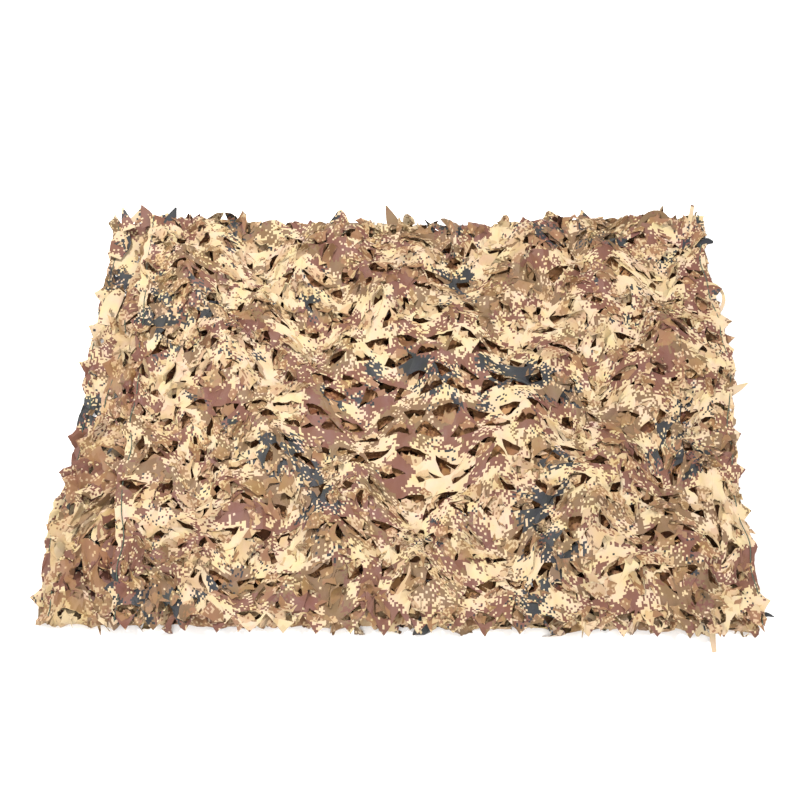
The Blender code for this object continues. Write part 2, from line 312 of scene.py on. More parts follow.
# The leaf of the back lip and that of the front lip: shape, length, where it points to off
# its gap's middle line, slope at its root, whole bend, roll.  Then half the gap's width, how
# far its back and its front lip stand off its middle, and how high its lips lift.  Where the
# back lip stands before the middle, the gap is a crescent round a tongue of cloth.
CELL_KINDS = (
    (None, None, 0.026, 0.002, 0.027, 0.5),
    (None, ("short_hook", 0.018, 25, 20, 40, 20), 0.027, 0.004, 0.026, 0.7),
    (None, None, 0.025, -0.002, 0.030, 0.4),
    (None, None, 0.028, 0.003, 0.025, 0.8),
    (None, ("stub", 0.016, -30, 25, 40, -20), 0.026, 0.000, 0.028, 0.5),
    (None, None, 0.025, 0.006, 0.026, 0.9),
    (
        ("fish_tail", 0.044, -34, 42, 95, -40),
        ("short_hook", 0.022, 20, 30, 40, 10),
        0.027, 0.008, 0.024, 1.0,
    ),
    (("hook", 0.042, -26, 55, 100, 30), None, 0.026, 0.007, 0.026, 1.0),
    (("flag", 0.040, -42, 48, 110, 22), None, 0.027, 0.009, 0.025, 1.0),
    (("swallow", 0.036, 14, 12, 40, -20), None, 0.028, 0.010, 0.026, 0.8),
    (
        ("swallow", 0.046, 44, 60, 80, 44),
        ("short_hook", 0.028, 25, 30, 80, 30),
        0.027, 0.008, 0.026, 1.0,
    ),
    (("spear", 0.045, 22, 60, 110, 18), None, 0.027, 0.006, 0.026, 1.0),
    (("fish_tail", 0.036, 20, 15, 50, -22), None, 0.028, 0.010, 0.026, 0.8),
    (("swallow", 0.042, -40, 26, 40, 36), None, 0.027, 0.010, 0.024, 1.0),
    (
        ("spear", 0.040, 8, 65, 30, 60),
        ("short_hook", 0.022, -10, 20, 40, 0),
        0.028, 0.010, 0.025, 1.0,
    ),
    (("flag", 0.038, 36, 24, 50, -20), None, 0.028, 0.011, 0.025, 1.0),
)
CRESCENT_KINDS = 6

# Most turn in degrees and most shift of a gap, for those with no leaf on the back lip and
# for those with one
PLAIN_GAP = (32.0, 0.004)
LEAFY_GAP = (32.0 * 2.1, 0.007)
PLAIN_HOLLOW = 0.75
PLAIN_FRONT_LIFT = 0.15
PLAIN_BACK_RISE = 0.003

# Ranges of what is random in a gap and its lips
BACK_LIFTS = (-0.006, 0.012)
FRONT_LIFTS = (0.004, 0.022)
TWISTS = (-0.009, 0.009)
SIZES = (0.88, 1.18)
ROUNDINGS = (1.0, 1.15, 1.5, 2.0)
HOLLOWS = (0.8, 1.35)
SKEWS = (-0.55, 0.55)
RIM_JITTER = 0.0012
LIFT_JITTER = 0.0006

# Where a cell's middle ring lies between its sides and its gap, and how far it dips there
MIDDLE_SHARE = 0.55
MIDDLE_DIP = -0.15
# Points of the rim that carry the leaf of the back lip and that of the front lip
BACK_ROOTS = (7, 6, 5, 4, 3)
FRONT_ROOTS = (17, 16, 15, 14, 13)

# Ragged long edge: half width of a tip, most inset and most lift of the rest
TIP_REACH = 0.016
RAGGED_INSET = 0.006
RAGGED_LIFT = 0.004


class CellMaker:
    """Points and faces of one cell, with the place that each point had in the flat cloth."""

    def __init__(self, pitch, row_pitch, chance, openness):
        self.pitch = pitch
        self.row_pitch = row_pitch
        self.chance = chance
        self.openness = openness
        self.points = []
        self.flat = []
        self.faces = []

    def add_row(self, places, flat_places):
        start = len(self.points)
        self.points.extend(tuple(place) for place in places)
        self.flat.extend((place[0], place[1], 0.0) for place in flat_places)
        return list(range(start, len(self.points)))

    def join(self, outer, inner, closed):
        last = len(outer) if closed else len(outer) - 1
        for step in range(last):
            after = (step + 1) % len(outer)
            self.faces.append((outer[step], outer[after], inner[after], inner[step]))

    def gap_rim(self, kind):
        """Rim of the gap: two lips that meet in points, each drawn out to a lifted corner."""
        leafy, *_, half_width, back_depth, front_depth, unrest = kind
        chance = self.chance
        most_turn, most_shift = LEAFY_GAP if leafy else PLAIN_GAP
        turn = math.radians(chance.uniform(-most_turn, most_turn))
        back_lift = chance.uniform(*BACK_LIFTS) * unrest
        front_lift = chance.uniform(*FRONT_LIFTS) * unrest
        if not leafy:
            front_lift *= PLAIN_FRONT_LIFT
            back_lift += PLAIN_BACK_RISE
        elif chance.random() < 0.5:
            back_lift, front_lift = front_lift, back_lift
        twist = chance.uniform(*TWISTS) * unrest
        size = chance.uniform(*SIZES) * self.openness
        shift = Vector((chance.uniform(-1, 1), chance.uniform(-1, 1))) * most_shift
        lips = {}
        for way, depth, lift in ((1, back_depth, back_lift), (-1, front_depth, front_lift)):
            roundness = chance.choice(ROUNDINGS)
            hollow = chance.uniform(*HOLLOWS) * (1.0 if leafy else PLAIN_HOLLOW)
            skew = chance.uniform(*SKEWS)
            lips[way] = (depth, lift, roundness, hollow, skew)
        rim = []
        for step in range(RING):
            angle = 2 * math.pi * step / RING
            way = 1 if math.sin(angle) > 0 else -1
            depth, lift, roundness, hollow, skew = lips[way]
            reach = (1 - abs(math.cos(angle)) ** roundness) ** hollow
            rise = way * depth * reach
            place = Vector((half_width * math.cos(angle) + skew * rise, rise))
            place.rotate(Matrix.Rotation(turn, 2))
            place = place * size + shift
            place += Vector((chance.uniform(-1, 1), chance.uniform(-1, 1))) * RIM_JITTER
            jitter = chance.uniform(-LIFT_JITTER, LIFT_JITTER)
            height = lift * reach + twist * math.cos(angle) + jitter
            rim.append(Vector((*place, height)))
        return rim

    def add_leaf(self, leaf, rim, rim_row, roots, way):
        """A leaf that hangs on one lip of the gap, with a crease along its middle."""
        shape, length, aim, slope, bend, roll = leaf
        widths, notch, lean = LEAF_SHAPES[shape]
        base = [rim[index] for index in roots]
        half_width = (base[-1].xy - base[0].xy).length / 2
        middle = sum(base, Vector((0, 0, 0))) / len(base)
        aim = math.radians(aim + self.chance.uniform(-LEAF_STRAY, LEAF_STRAY))
        slope, bend, roll = (
            math.radians(angle) for angle in (slope, bend * LEAF_BEND, roll * LEAF_ROLL)
        )
        forward = Vector((math.sin(aim), -math.cos(aim), 0)) * way
        sideways = Vector((math.cos(aim), math.sin(aim), 0)) * way
        crease = self.chance.uniform(-LEAF_CREASE, LEAF_CREASE)
        rows = len(widths)
        place = middle.copy()
        before = [rim_row[index] for index in roots]
        for row, width in enumerate(widths, start=1):
            share = row / rows
            angle = slope + bend * (share - 0.5 / rows)
            heading = forward * math.cos(angle) + Vector((0, 0, math.sin(angle)))
            place = place + heading * (length / rows)
            normal = heading.cross(sideways) * -1
            turned = sideways * math.cos(roll * share) + normal * math.sin(roll * share)
            half = half_width * width * (1 + (LEAF_WIDEN - 1) * share)
            fade = (1 - share) ** 2
            edge, flat_edge = [], []
            for side, origin in zip(np.linspace(-1, 1, len(base)), base):
                pull = length * share * share * (lean * side * 0.5 - notch * (1 - abs(side)))
                spot = place + turned * (side * half) + heading * pull
                spot += normal * (crease * half * (abs(side) - 0.5) * math.sqrt(share))
                spot.y += (origin - middle).y * fade
                spot.z += (origin - middle).z * fade
                edge.append(spot)
                ahead = length * share + pull
                flat_edge.append((middle.x + way * side * half, middle.y - way * ahead))
            row_points = self.add_row(edge, flat_edge)
            self.join(before, row_points, False)
            before = row_points

    def make_gap_cell(self, kind):
        """A diamond of cloth with a gap in it, and the leaf of the gap."""
        sides = cell_outline(self.pitch, self.row_pitch)
        outline = [Vector((*place, 0)) for place in sides]
        rim = self.gap_rim(kind)
        middle_ring = [
            outer.lerp(inner, MIDDLE_SHARE) + Vector((0, 0, inner.z * MIDDLE_DIP))
            for outer, inner in zip(outline, rim)
        ]
        rows = [self.add_row(ring, ring) for ring in (outline, middle_ring, rim)]
        self.join(rows[0], rows[1], True)
        self.join(rows[1], rows[2], True)
        for leaf, roots, way in ((kind[0], BACK_ROOTS, 1), (kind[1], FRONT_ROOTS, -1)):
            if leaf:
                self.add_leaf(leaf, rim, rows[2], roots, way)

    def make_edge_cell(self, tip):
        """Half a cell whose straight side is the ragged long edge of the net."""
        tip_out, tip_along, tip_lift = tip
        outline = cell_outline(self.pitch, self.row_pitch)
        quarter = RING // 4
        half = [outline[index % RING] for index in range(3 * quarter, 5 * quarter + 1)]
        outer = [Vector((*place, 0)) for place in half]
        edge = []
        for place in outer:
            near_tip = max(0.0, 1 - abs(place.y - tip_along) / TIP_REACH)
            inset = self.chance.uniform(0.0, RAGGED_INSET)
            inset *= 1 - abs(place.y) / self.row_pitch
            lift = self.chance.uniform(0, RAGGED_LIFT) + near_tip * tip_lift
            edge.append(Vector((inset - tip_out * near_tip, place.y, lift)))
        edge[0] = outer[0].copy()
        edge[-1] = outer[-1].copy()
        middle = [a.lerp(b, 0.5) + Vector((0, 0, b.z * 0.3)) for a, b in zip(outer, edge)]
        rows = [self.add_row(line[1:-1], line[1:-1]) for line in (outer, middle, edge)]
        ends = self.add_row((outer[0], outer[-1]), (outer[0], outer[-1]))
        self.join(rows[0], rows[1], False)
        self.join(rows[1], rows[2], False)
        for before, after in zip(rows, rows[1:]):
            self.faces.append((ends[0], before[0], after[0]))
            self.faces.append((before[-1], ends[1], after[-1]))

    def mesh(self, name, flip_x, flip_y):
        """Mesh of the cell, or of its mirror image with its faces turned right again."""
        mirror = np.array((-1.0 if flip_x else 1.0, -1.0 if flip_y else 1.0, 1.0))
        faces = self.faces
        if flip_x != flip_y:
            faces = [face[::-1] for face in faces]
        made = bpy.data.meshes.new(name)
        made.from_pydata((np.array(self.points) * mirror).tolist(), [], faces)
        flat = made.attributes.new("laid_flat", "FLOAT_VECTOR", "POINT")
        flat.data.foreach_set("vector", (np.array(self.flat) * mirror).ravel())
        return made


# Leaves that stand on the ribbons: shape, length, slope at the root, whole bend, roll, width
RIBBON_LEAVES = (
    ("fork", 0.030, 6, 12, 12, 0.020),
    ("fork", 0.025, 17, 16, -18, 0.024),
    ("arrow", 0.031, 11, 6, -15, 0.022),
    ("arrow", 0.027, 22, 14, 21, 0.020),
    ("tooth", 0.032, 4, 14, 15, 0.024),
    ("tooth", 0.025, 20, 18, -24, 0.022),
    ("kite", 0.029, 13, 10, 12, 0.020),
    ("kite", 0.034, 3, 8, -18, 0.018),
    ("wing", 0.027, 14, 10, 22, 0.022),
    ("wing", 0.031, 7, 16, -9, 0.024),
    ("split", 0.029, 18, 6, -21, 0.021),
    ("split", 0.025, 8, 20, 24, 0.024),
)
# How far the leaves stand in from the ends of their field, and from each other
LEAF_MARGIN = 0.026
LEAF_SPACING = 0.031
# Share of the leaves left out in the calm middle, how deep their roots are tucked in, and
# how far their place in the print jumps
CALM_THINNING = 0.88
ROOT_TUCK = 0.003
PRINT_JUMP = 0.06


def make_leaves(seed):
    """Collection of the leaves that stand on the ribbons."""
    chance = random.Random(seed)
    leaves = bpy.data.collections.new("net_leaves")
    for number, (shape, length, slope, bend, roll, width) in enumerate(RIBBON_LEAVES):
        maker = CellMaker(0.0, 0.0, chance, 1.0)
        root = [Vector((width * side, 0.0, -ROOT_TUCK)) for side in (-0.5, 0.0, 0.5)]
        rows = maker.add_row(root, root)
        maker.add_leaf((shape, length, 0, slope, bend, roll), root, rows, range(3), 1)
        mesh = maker.mesh("leaf", False, False)
        leaves.objects.link(bpy.data.objects.new(f"leaf_{number:02d}", mesh))
    return leaves


def empty(collection):
    """Removes a collection of helper objects."""
    for thing in list(collection.objects):
        drop(thing)
    bpy.data.collections.remove(collection)


# Ragged tips of the long edges: how far out, how far along and how high the tip is
EDGE_TIPS = (
    (0.016, 0.012, 0.006),
    (0.027, -0.008, 0.012),
    (0.006, 0.020, 0.004),
    (0.022, -0.020, 0.015),
)


def make_cells(seed, openness):
    """Collection of all cell meshes, in the order in which the lattice picks them."""
    chance = random.Random(seed)
    cells = bpy.data.collections.new("net_cells")
    meshes, plain, edges = [], [], []
    for kind in CELL_KINDS:
        plain.append(CellMaker(PITCH, ROW_PITCH, chance, openness))
        plain[-1].make_gap_cell(kind)
    for tip in EDGE_TIPS:
        edges.append(CellMaker(PITCH, ROW_PITCH, chance, openness))
        edges[-1].make_edge_cell(tip)
    for flip_y in (False, True):
        for flip_x in (False, True):
            meshes += [maker.mesh("cell", flip_x, flip_y) for maker in plain]
    for flip_x in (False, True):
        meshes += [maker.mesh("edge", flip_x, False) for maker in edges]
    for number, mesh in enumerate(meshes):
        cells.objects.link(bpy.data.objects.new(f"cell_{number:03d}", mesh))
    return cells


# ---------------------------------------------------------------- node trees


class Nodes:
    """Writes a node tree, one call for each node."""

    def __init__(self, tree):
        self.tree = tree

    def add(self, kind, inputs=None, **settings):
        node = self.tree.nodes.new(kind)
        for name, value in settings.items():
            setattr(node, name, value)
        for name, value in (inputs or {}).items():
            socket = self.named(node.inputs, name)
            if isinstance(value, bpy.types.NodeSocket):
                self.tree.links.new(value, socket)
            else:
                socket.default_value = value
        return node

    def out(self, kind, inputs=None, **settings):
        """First output of a new node."""
        return self.add(kind, inputs, **settings).outputs[0]

    @staticmethod
    def named(sockets, name):
        """Socket by its place or identifier, or else by its name."""
        if isinstance(name, int):
            return sockets[name]
        for socket in sockets:
            if socket.identifier == name:
                return socket
        return sockets[name]

    def math(self, operation, first, second=0.0, third=0.0):
        return self.out("ShaderNodeMath", {0: first, 1: second, 2: third}, operation=operation)

    def plus(self, first, second):
        return self.math("ADD", first, second)

    def minus(self, first, second):
        return self.math("SUBTRACT", first, second)

    def times(self, first, second):
        return self.math("MULTIPLY", first, second)

    def vector(self, operation, first, second=(0, 0, 0), scale=1.0):
        inputs = {0: first, 1: second, "Scale": scale}
        return self.out("ShaderNodeVectorMath", inputs, operation=operation)

    def combined(self, x, y, z=0.0):
        return self.out("ShaderNodeCombineXYZ", {0: x, 1: y, 2: z})

    def parts(self, vector):
        return self.add("ShaderNodeSeparateXYZ", {0: vector}).outputs

    def any_value(self, kind, suffix, low, high, seed):
        """Random value for each point; its sockets' identifiers end in the suffix."""
        inputs = {"Min" + suffix: low, "Max" + suffix: high, "Seed": seed}
        node = self.add("FunctionNodeRandomValue", inputs, data_type=kind)
        return self.named(node.outputs, "Value" + suffix)

    def whole(self, count, seed):
        """Random whole number for each point, from 0 up to the count less 1."""
        return self.any_value("INT", "_002", 0, self.minus(count, 1), seed)

    def any_number(self, seed, channel):
        """Random number from 0 to 1 for each point, another one for each channel."""
        seed = self.math("MULTIPLY_ADD", seed, 10, channel)
        return self.any_value("FLOAT", "_001", 0.0, 1.0, seed)

    def any_offset(self, seed, channel, reach):
        """Random offset over the net for each point, from two channels."""
        x, y = (self.minus(self.any_number(seed, channel + step), 0.5) for step in (0, 1))
        return self.vector("SCALE", self.combined(x, y), scale=reach)

    def stored(self, name, kind="FLOAT_VECTOR"):
        """A named attribute of the geometry."""
        node = self.add("GeometryNodeInputNamedAttribute", {"Name": name}, data_type=kind)
        return node.outputs["Attribute"]

    def store(self, geometry, name, value, kind="FLOAT_VECTOR", domain="POINT"):
        inputs = {"Geometry": geometry, "Name": name, "Value": value}
        kinds = {"data_type": kind, "domain": domain}
        return self.out("GeometryNodeStoreNamedAttribute", inputs, **kinds)

    def store_print_place(self, geometry, place):
        return self.store(geometry, "UVMap", place, "FLOAT2", "CORNER")

    def here(self):
        """Place of each point."""
        return self.out("GeometryNodeInputPosition")

    def moved(self, geometry, offset):
        return self.out("GeometryNodeSetPosition", {"Geometry": geometry, "Offset": offset})

    def without(self, geometry, spare):
        inputs = {"Geometry": geometry, "Selection": spare}
        return self.out("GeometryNodeDeleteGeometry", inputs, domain="POINT")

    def laid(self, points, collection, pick, more):
        """Real copies of a collection's objects at the points, each picked by its number."""
        inputs = {"Collection": collection, "Separate Children": True, "Reset Children": True}
        things = self.out("GeometryNodeCollectionInfo", inputs)
        inputs = {"Points": points, "Instance": things, "Pick Instance": True}
        inputs = {**inputs, "Instance Index": pick, **more}
        placed = self.out("GeometryNodeInstanceOnPoints", inputs)
        return self.out("GeometryNodeRealizeInstances", {"Geometry": placed})

    def finish_geometry(self, geometry, material, result):
        """Gives the geometry its material and ends the tree with it."""
        inputs = {"Geometry": geometry, "Material": material}
        ready = self.out("GeometryNodeSetMaterial", inputs)
        self.tree.links.new(ready, result["Geometry"])

    def noise(self, place, scale, detail=2.0, output="Fac", dimensions="3D", **more):
        inputs = {"Vector": place, "Scale": scale, "Detail": detail, **more}
        node = self.add("ShaderNodeTexNoise", inputs, noise_dimensions=dimensions)
        return node.outputs[output]

    def mixed(self, below, above, share):
        """One colour laid over another one."""
        inputs = {"Factor_Float": share, "A_Color": below, "B_Color": above}
        node = self.add("ShaderNodeMix", inputs, data_type="RGBA")
        return self.named(node.outputs, "Result_Color")

    def bump(self, height, strength, distance, **more):
        inputs = {"Height": height, "Strength": strength, "Distance": distance, **more}
        return self.out("ShaderNodeBump", inputs)


def geometry_tree(name, inputs):
    """Empty geometry tree with named inputs, and its writer, inputs and output."""
    tree = bpy.data.node_groups.new(name, "GeometryNodeTree")
    sockets = [("Geometry", "OUTPUT", "Geometry"), ("Geometry", "INPUT", "Geometry")]
    sockets += [(label, "INPUT", kind) for label, kind in inputs.items()]
    for label, way, kind in sockets:
        tree.interface.new_socket(label, in_out=way, socket_type="NodeSocket" + kind)
    entry = tree.nodes.new("NodeGroupInput")
    result = tree.nodes.new("NodeGroupOutput")
    return tree, Nodes(tree), entry.outputs, result.inputs


# Unevenness of the flat net: noise scale, share of the wander, share of the crumple
FLAT_NOISE = ((11.0, 0.5, 1.0), (32.0, 0.3, 0.6), (65.0, 0.1, 0.4))
# Brings the swing of the noise to about one each way
NOISE_STRETCH = 5
# Points of neighbouring cells that are this close become one
MERGE_DISTANCE = 0.0001

# Inputs that both trees of the net have
NET_INPUTS = {
    "Kinds": "Int",
    "Columns": "Int",
    "Rows": "Int",
    "Wander": "Float",
    "Crumple": "Float",
    "Seed": "Int",
    "Cloth": "Material",
}


def uneven(nodes, cloth, given, here):
    """The flat cloth pulled about and crumpled, each point as much as the given place is."""
    flat_here = nodes.vector("MULTIPLY", here, (1, 1, 0))
    for scale, wander_share, rise_share in FLAT_NOISE:
        noise = nodes.noise(flat_here, scale, 1.0, "Color", "4D", W=given["Seed"])
        swing = nodes.vector("SUBTRACT", noise, (0.5, 0.5, 0.5))
        spread = nodes.times(given["Wander"], NOISE_STRETCH * wander_share)
        rise = nodes.times(given["Crumple"], NOISE_STRETCH * rise_share)
        reach = nodes.combined(spread, spread, rise)
        cloth = nodes.moved(cloth, nodes.vector("MULTIPLY", swing, reach))
    return cloth


def calm_zone(nodes, across, along):
    """1 in the calm middle of the top layer, 0 elsewhere."""
    off_x = nodes.math("DIVIDE", across, CALM_WIDTH)
    off_y = nodes.math("DIVIDE", nodes.minus(along, CALM_ALONG), CALM_LENGTH)
    off_square = nodes.math("MULTIPLY_ADD", off_x, off_x, nodes.times(off_y, off_y))
    return nodes.math("LESS_THAN", off_square, 1.0)


def leaf_tree():
    """Tree that stands leaves on the ribbons of the flat net."""
    inputs = {"Leaves": "Collection", "Size": "Vector", "Middle": "Vector"}
    inputs = {**inputs, "Spacing": "Float", **NET_INPUTS}
    tree, nodes, given, result = geometry_tree("ribbon_leaves", inputs)
    seed = given["Seed"]
    width, length, _ = nodes.parts(given["Size"])
    grid = {"Size X": width, "Size Y": length}
    grid.update({"Vertices X": given["Columns"], "Vertices Y": given["Rows"]})
    points = nodes.out("GeometryNodeMeshGrid", grid)
    jolt = nodes.any_offset(seed, 1, given["Spacing"])
    points = nodes.moved(points, nodes.vector("ADD", jolt, given["Middle"]))
    here = nodes.here()
    across, along, _ = nodes.parts(here)
    calm = nodes.times(calm_zone(nodes, across, along), CALM_THINNING)
    spare = nodes.math("LESS_THAN", nodes.any_number(seed, 3), calm)
    print_place = nodes.vector("ADD", here, nodes.any_offset(seed, 4, PRINT_JUMP))
    points = nodes.store(points, "cell_root", here)
    points = nodes.store(points, "cell_middle", print_place)
    points = nodes.without(points, spare)
    heading = nodes.times(nodes.any_number(seed, 6), 2 * math.pi)
    turn = {"Rotation": nodes.combined(0.0, 0.0, heading)}
    cloth = nodes.laid(points, given["Leaves"], nodes.whole(given["Kinds"], seed), turn)
    spot = nodes.vector("ADD", nodes.stored("cell_middle"), nodes.stored("laid_flat"))
    cloth = nodes.store_print_place(cloth, spot)
    cloth = uneven(nodes, cloth, given, nodes.stored("cell_root"))
    nodes.finish_geometry(cloth, given["Cloth"], result)
    return tree


def lattice_tree():
    """Tree that lays the cells of the net side by side and joins them into one flat cloth."""
    inputs = {"Cells": "Collection", "Pitch": "Float", "Row Pitch": "Float", "First Row": "Int"}
    inputs = {**inputs, "Calm Kinds": "Int", "Edge Kinds": "Int", **NET_INPUTS}
    tree, nodes, given, result = geometry_tree("net_lattice", inputs)
    kinds, edge_kinds, columns = given["Kinds"], given["Edge Kinds"], given["Columns"]
    per_row = nodes.plus(columns, 1)
    index = nodes.out("GeometryNodeInputIndex")
    row = nodes.math("FLOOR", nodes.math("DIVIDE", index, per_row))
    column = nodes.minus(index, nodes.times(row, per_row))
    cloth_row = nodes.plus(row, given["First Row"])
    odd = nodes.math("MODULO", cloth_row, 2)
    even = nodes.minus(1, odd)
    steps = nodes.minus(nodes.plus(column, nodes.times(even, 0.5)), nodes.times(columns, 0.5))
    across = nodes.times(steps, given["Pitch"])
    along = nodes.times(nodes.plus(cloth_row, FIRST_ROW), given["Row Pitch"])
    count = nodes.times(given["Rows"], per_row)
    inputs = {"Count": count, "Position": nodes.combined(across, along)}
    points = nodes.out("GeometryNodePoints", inputs)

    is_last = nodes.math("GREATER_THAN", column, nodes.minus(columns, 0.5))
    at_left = nodes.times(nodes.math("LESS_THAN", column, 0.5), odd)
    at_right = nodes.times(is_last, odd)
    at_edge = nodes.plus(at_left, at_right)
    any_cell = nodes.whole(kinds, given["Seed"])
    calm_cell = nodes.math("MODULO", any_cell, given["Calm Kinds"])
    change = nodes.times(calm_zone(nodes, across, along), nodes.minus(calm_cell, any_cell))
    any_cell = nodes.plus(nodes.plus(any_cell, change), nodes.times(odd, kinds))
    any_edge = nodes.whole(edge_kinds, given["Seed"])
    any_edge = nodes.plus(any_edge, nodes.times(at_right, edge_kinds))
    any_edge = nodes.plus(any_edge, nodes.times(kinds, 2))
    in_field = nodes.times(any_cell, nodes.minus(1, at_edge))
    kind = nodes.plus(in_field, nodes.times(any_edge, at_edge))
    points = nodes.store(points, "cell_kind", kind, "INT")
    points = nodes.store(points, "cell_middle", nodes.here())
    points = nodes.without(points, nodes.times(is_last, even))

    cloth = nodes.laid(points, given["Cells"], nodes.stored("cell_kind", "INT"), {})
    print_place = nodes.vector("ADD", nodes.stored("cell_middle"), nodes.stored("laid_flat"))
    here = nodes.here()
    # The print goes with the pull of the cloth, so that its squares stay square
    cloth = nodes.store(cloth, "unpulled", here)
    cloth = uneven(nodes, cloth, given, here)
    pull = nodes.vector("SUBTRACT", here, nodes.stored("unpulled"))
    cloth = nodes.store_print_place(cloth, nodes.vector("ADD", print_place, pull))
    inputs = {"Geometry": cloth, "Distance": MERGE_DISTANCE}
    cloth = nodes.out("GeometryNodeMergeByDistance", inputs)
    nodes.finish_geometry(cloth, given["Cloth"], result)
    return tree


def plain_copy(thing, name):
    """Plain mesh of an object with its modifiers worked out."""
    bpy.context.view_layer.update()
    ready = thing.evaluated_get(bpy.context.evaluated_depsgraph_get())
    mesh = bpy.data.meshes.new_from_object(ready)
    mesh.name = name
    return mesh


def new_object(name, data):
    made = bpy.data.objects.new(name, data)
    bpy.context.scene.collection.objects.link(made)
    return made


def drop(thing):
    """Removes a helper object and its mesh or curve."""
    data = thing.data
    bpy.data.objects.remove(thing)
    shelf = bpy.data.meshes if isinstance(data, bpy.types.Mesh) else bpy.data.curves
    shelf.remove(data)


def grown(tree, values, name, start=None):
    """Plain mesh of what a geometry tree makes of a mesh or curve, or of nothing."""
    helper = new_object(name, start or bpy.data.meshes.new(name))
    modifier = helper.modifiers.new("Tree", "NODES")
    modifier.node_group = tree
    for item in tree.interface.items_tree:
        if item.item_type == "SOCKET" and item.in_out == "INPUT" and item.name in values:
            modifier[item.identifier] = values[item.name]
    mesh = plain_copy(helper, name)
    drop(helper)
    return mesh


# ---------------------------------------------------------------- loose strips of the net

# Where in the print a slip is cut to take one colour
PRINT_PLACES = {
    "slate": (0.23, 0.58),
    "mauve": (-0.15, 0.03),
    "taupe": (-0.22, 0.02),
    "cream": (0.00, 0.32),
    "long cream": (-0.60, 0.46),
    "speckled": (-0.30, 0.20),
}
# Loose slips and tips: the colour of each, then its points: x, y, z, width
LOOSE_SLIPS = {
    "tail": (
        "long cream",
        (0.622, -0.494, 0.040, 0.016), (0.624, -0.508, 0.028, 0.013),
        (0.626, -0.521, 0.012, 0.012), (0.629, -0.543, 0.002, 0.009),
    ),
    "pale_slip": (
        "cream",
        (0.667, 0.461, 0.028, 0.012), (0.672, 0.492, 0.038, 0.013),
        (0.679, 0.519, 0.045, 0.010), (0.685, 0.546, 0.048, 0.010),
    ),
    "dark_slip": (
        "slate",
        (0.696, 0.454, 0.030, 0.009), (0.694, 0.478, 0.040, 0.006),
        (0.691, 0.510, 0.048, 0.004),
    ),
    "curled_leaf": (
        "taupe",
        (0.552, 0.482, 0.038, 0.010), (0.567, 0.512, 0.046, 0.014),
        (0.596, 0.524, 0.050, 0.016), (0.621, 0.512, 0.046, 0.014),
        (0.630, 0.488, 0.038, 0.004),
    ),
    "edge_loop": (
        "long cream",
        (0.687, 0.232, 0.030, 0.010), (0.716, 0.243, 0.030, 0.009),
        (0.735, 0.275, 0.032, 0.008), (0.734, 0.309, 0.034, 0.008),
        (0.714, 0.325, 0.036, 0.009), (0.691, 0.325, 0.036, 0.010),
    ),
    "side_tip": (
        "cream",
        (0.714, 0.034, 0.036, 0.022), (0.737, 0.042, 0.044, 0.015),
        (0.756, 0.051, 0.050, 0.003),
    ),
    "front_tip": (
        "slate",
        (0.697, -0.475, 0.030, 0.022), (0.718, -0.479, 0.034, 0.017),
        (0.733, -0.475, 0.036, 0.009), (0.747, -0.480, 0.034, 0.002),
    ),
    "mauve_tip": (
        "mauve",
        (-0.613, 0.499, 0.026, 0.038), (-0.622, 0.524, 0.034, 0.030),
        (-0.637, 0.552, 0.038, 0.003),
    ),
    "slate_leaf": (
        "slate",
        (-0.567, 0.490, 0.026, 0.034), (-0.560, 0.515, 0.034, 0.026),
        (-0.552, 0.545, 0.038, 0.004),
    ),
    "grey_leaf": (
        "taupe",
        (-0.022, 0.483, 0.036, 0.036), (-0.032, 0.508, 0.044, 0.026),
        (-0.045, 0.543, 0.048, 0.004),
    ),
    "corner_tip": (
        "speckled",
        (-0.662, 0.489, 0.024, 0.034), (-0.672, 0.516, 0.032, 0.022),
        (-0.682, 0.546, 0.036, 0.004),
    ),
    "back_margin_leaf": (
        "speckled",
        (-0.690, 0.415, 0.012, 0.030), (-0.678, 0.455, 0.016, 0.050),
        (-0.678, 0.492, 0.012, 0.028),
    ),
    "margin_leaf": (
        "cream",
        (-0.686, 0.222, 0.012, 0.032), (-0.682, 0.257, 0.016, 0.040),
        (-0.674, 0.292, 0.014, 0.038), (-0.660, 0.318, 0.012, 0.022),
    ),
    "right_leaf": (
        "slate",
        (0.687, 0.428, 0.040, 0.014), (0.707, 0.442, 0.044, 0.018),
        (0.724, 0.442, 0.040, 0.006),
    ),
}
# Which way the slips face, and the points along each
SLIP_FACING = (0.1, -0.6, 0.8)
SLIP_STEPS = 12


def slip_mesh(print_place, points):
    """Slip of cloth along a smooth line through its points, turned to face forwards and up."""
    line = np.array(points)
    stations = np.arange(len(line))
    shares = np.linspace(0, len(line) - 1, SLIP_STEPS)
    smooth = np.column_stack([np.interp(shares, stations, column) for column in line.T])
    for _ in range(2):
        smooth[1:-1] = (smooth[:-2] + 2 * smooth[1:-1] + smooth[2:]) / 4
    ahead = np.gradient(smooth[:, :3], axis=0)
    stride = np.linalg.norm(ahead, axis=1)
    sideways = np.cross(ahead, SLIP_FACING)
    sideways /= np.linalg.norm(sideways, axis=1, keepdims=True)
    travelled = np.cumsum(stride) - stride[0]
    places, print_places = [], []
    for side in (-0.5, 0.0, 0.5):
        off = smooth[:, 3] * side
        places.append(smooth[:, :3] + sideways * off[:, None])
        print_places.append(np.column_stack((print_place[0] + off, print_place[1] + travelled)))
    faces = [
        (low, low + SLIP_STEPS, low + SLIP_STEPS + 1, low + 1)
        for band in range(2)
        for low in range(band * SLIP_STEPS, (band + 1) * SLIP_STEPS - 1)
    ]
    made = bpy.data.meshes.new("slip")
    made.from_pydata(np.concatenate(places).tolist(), [], faces)
    flat = made.uv_layers.new(name="UVMap")
    corners = np.array([loop.vertex_index for loop in made.loops])
    flat.data.foreach_set("uv", np.concatenate(print_places)[corners].ravel())
    return made


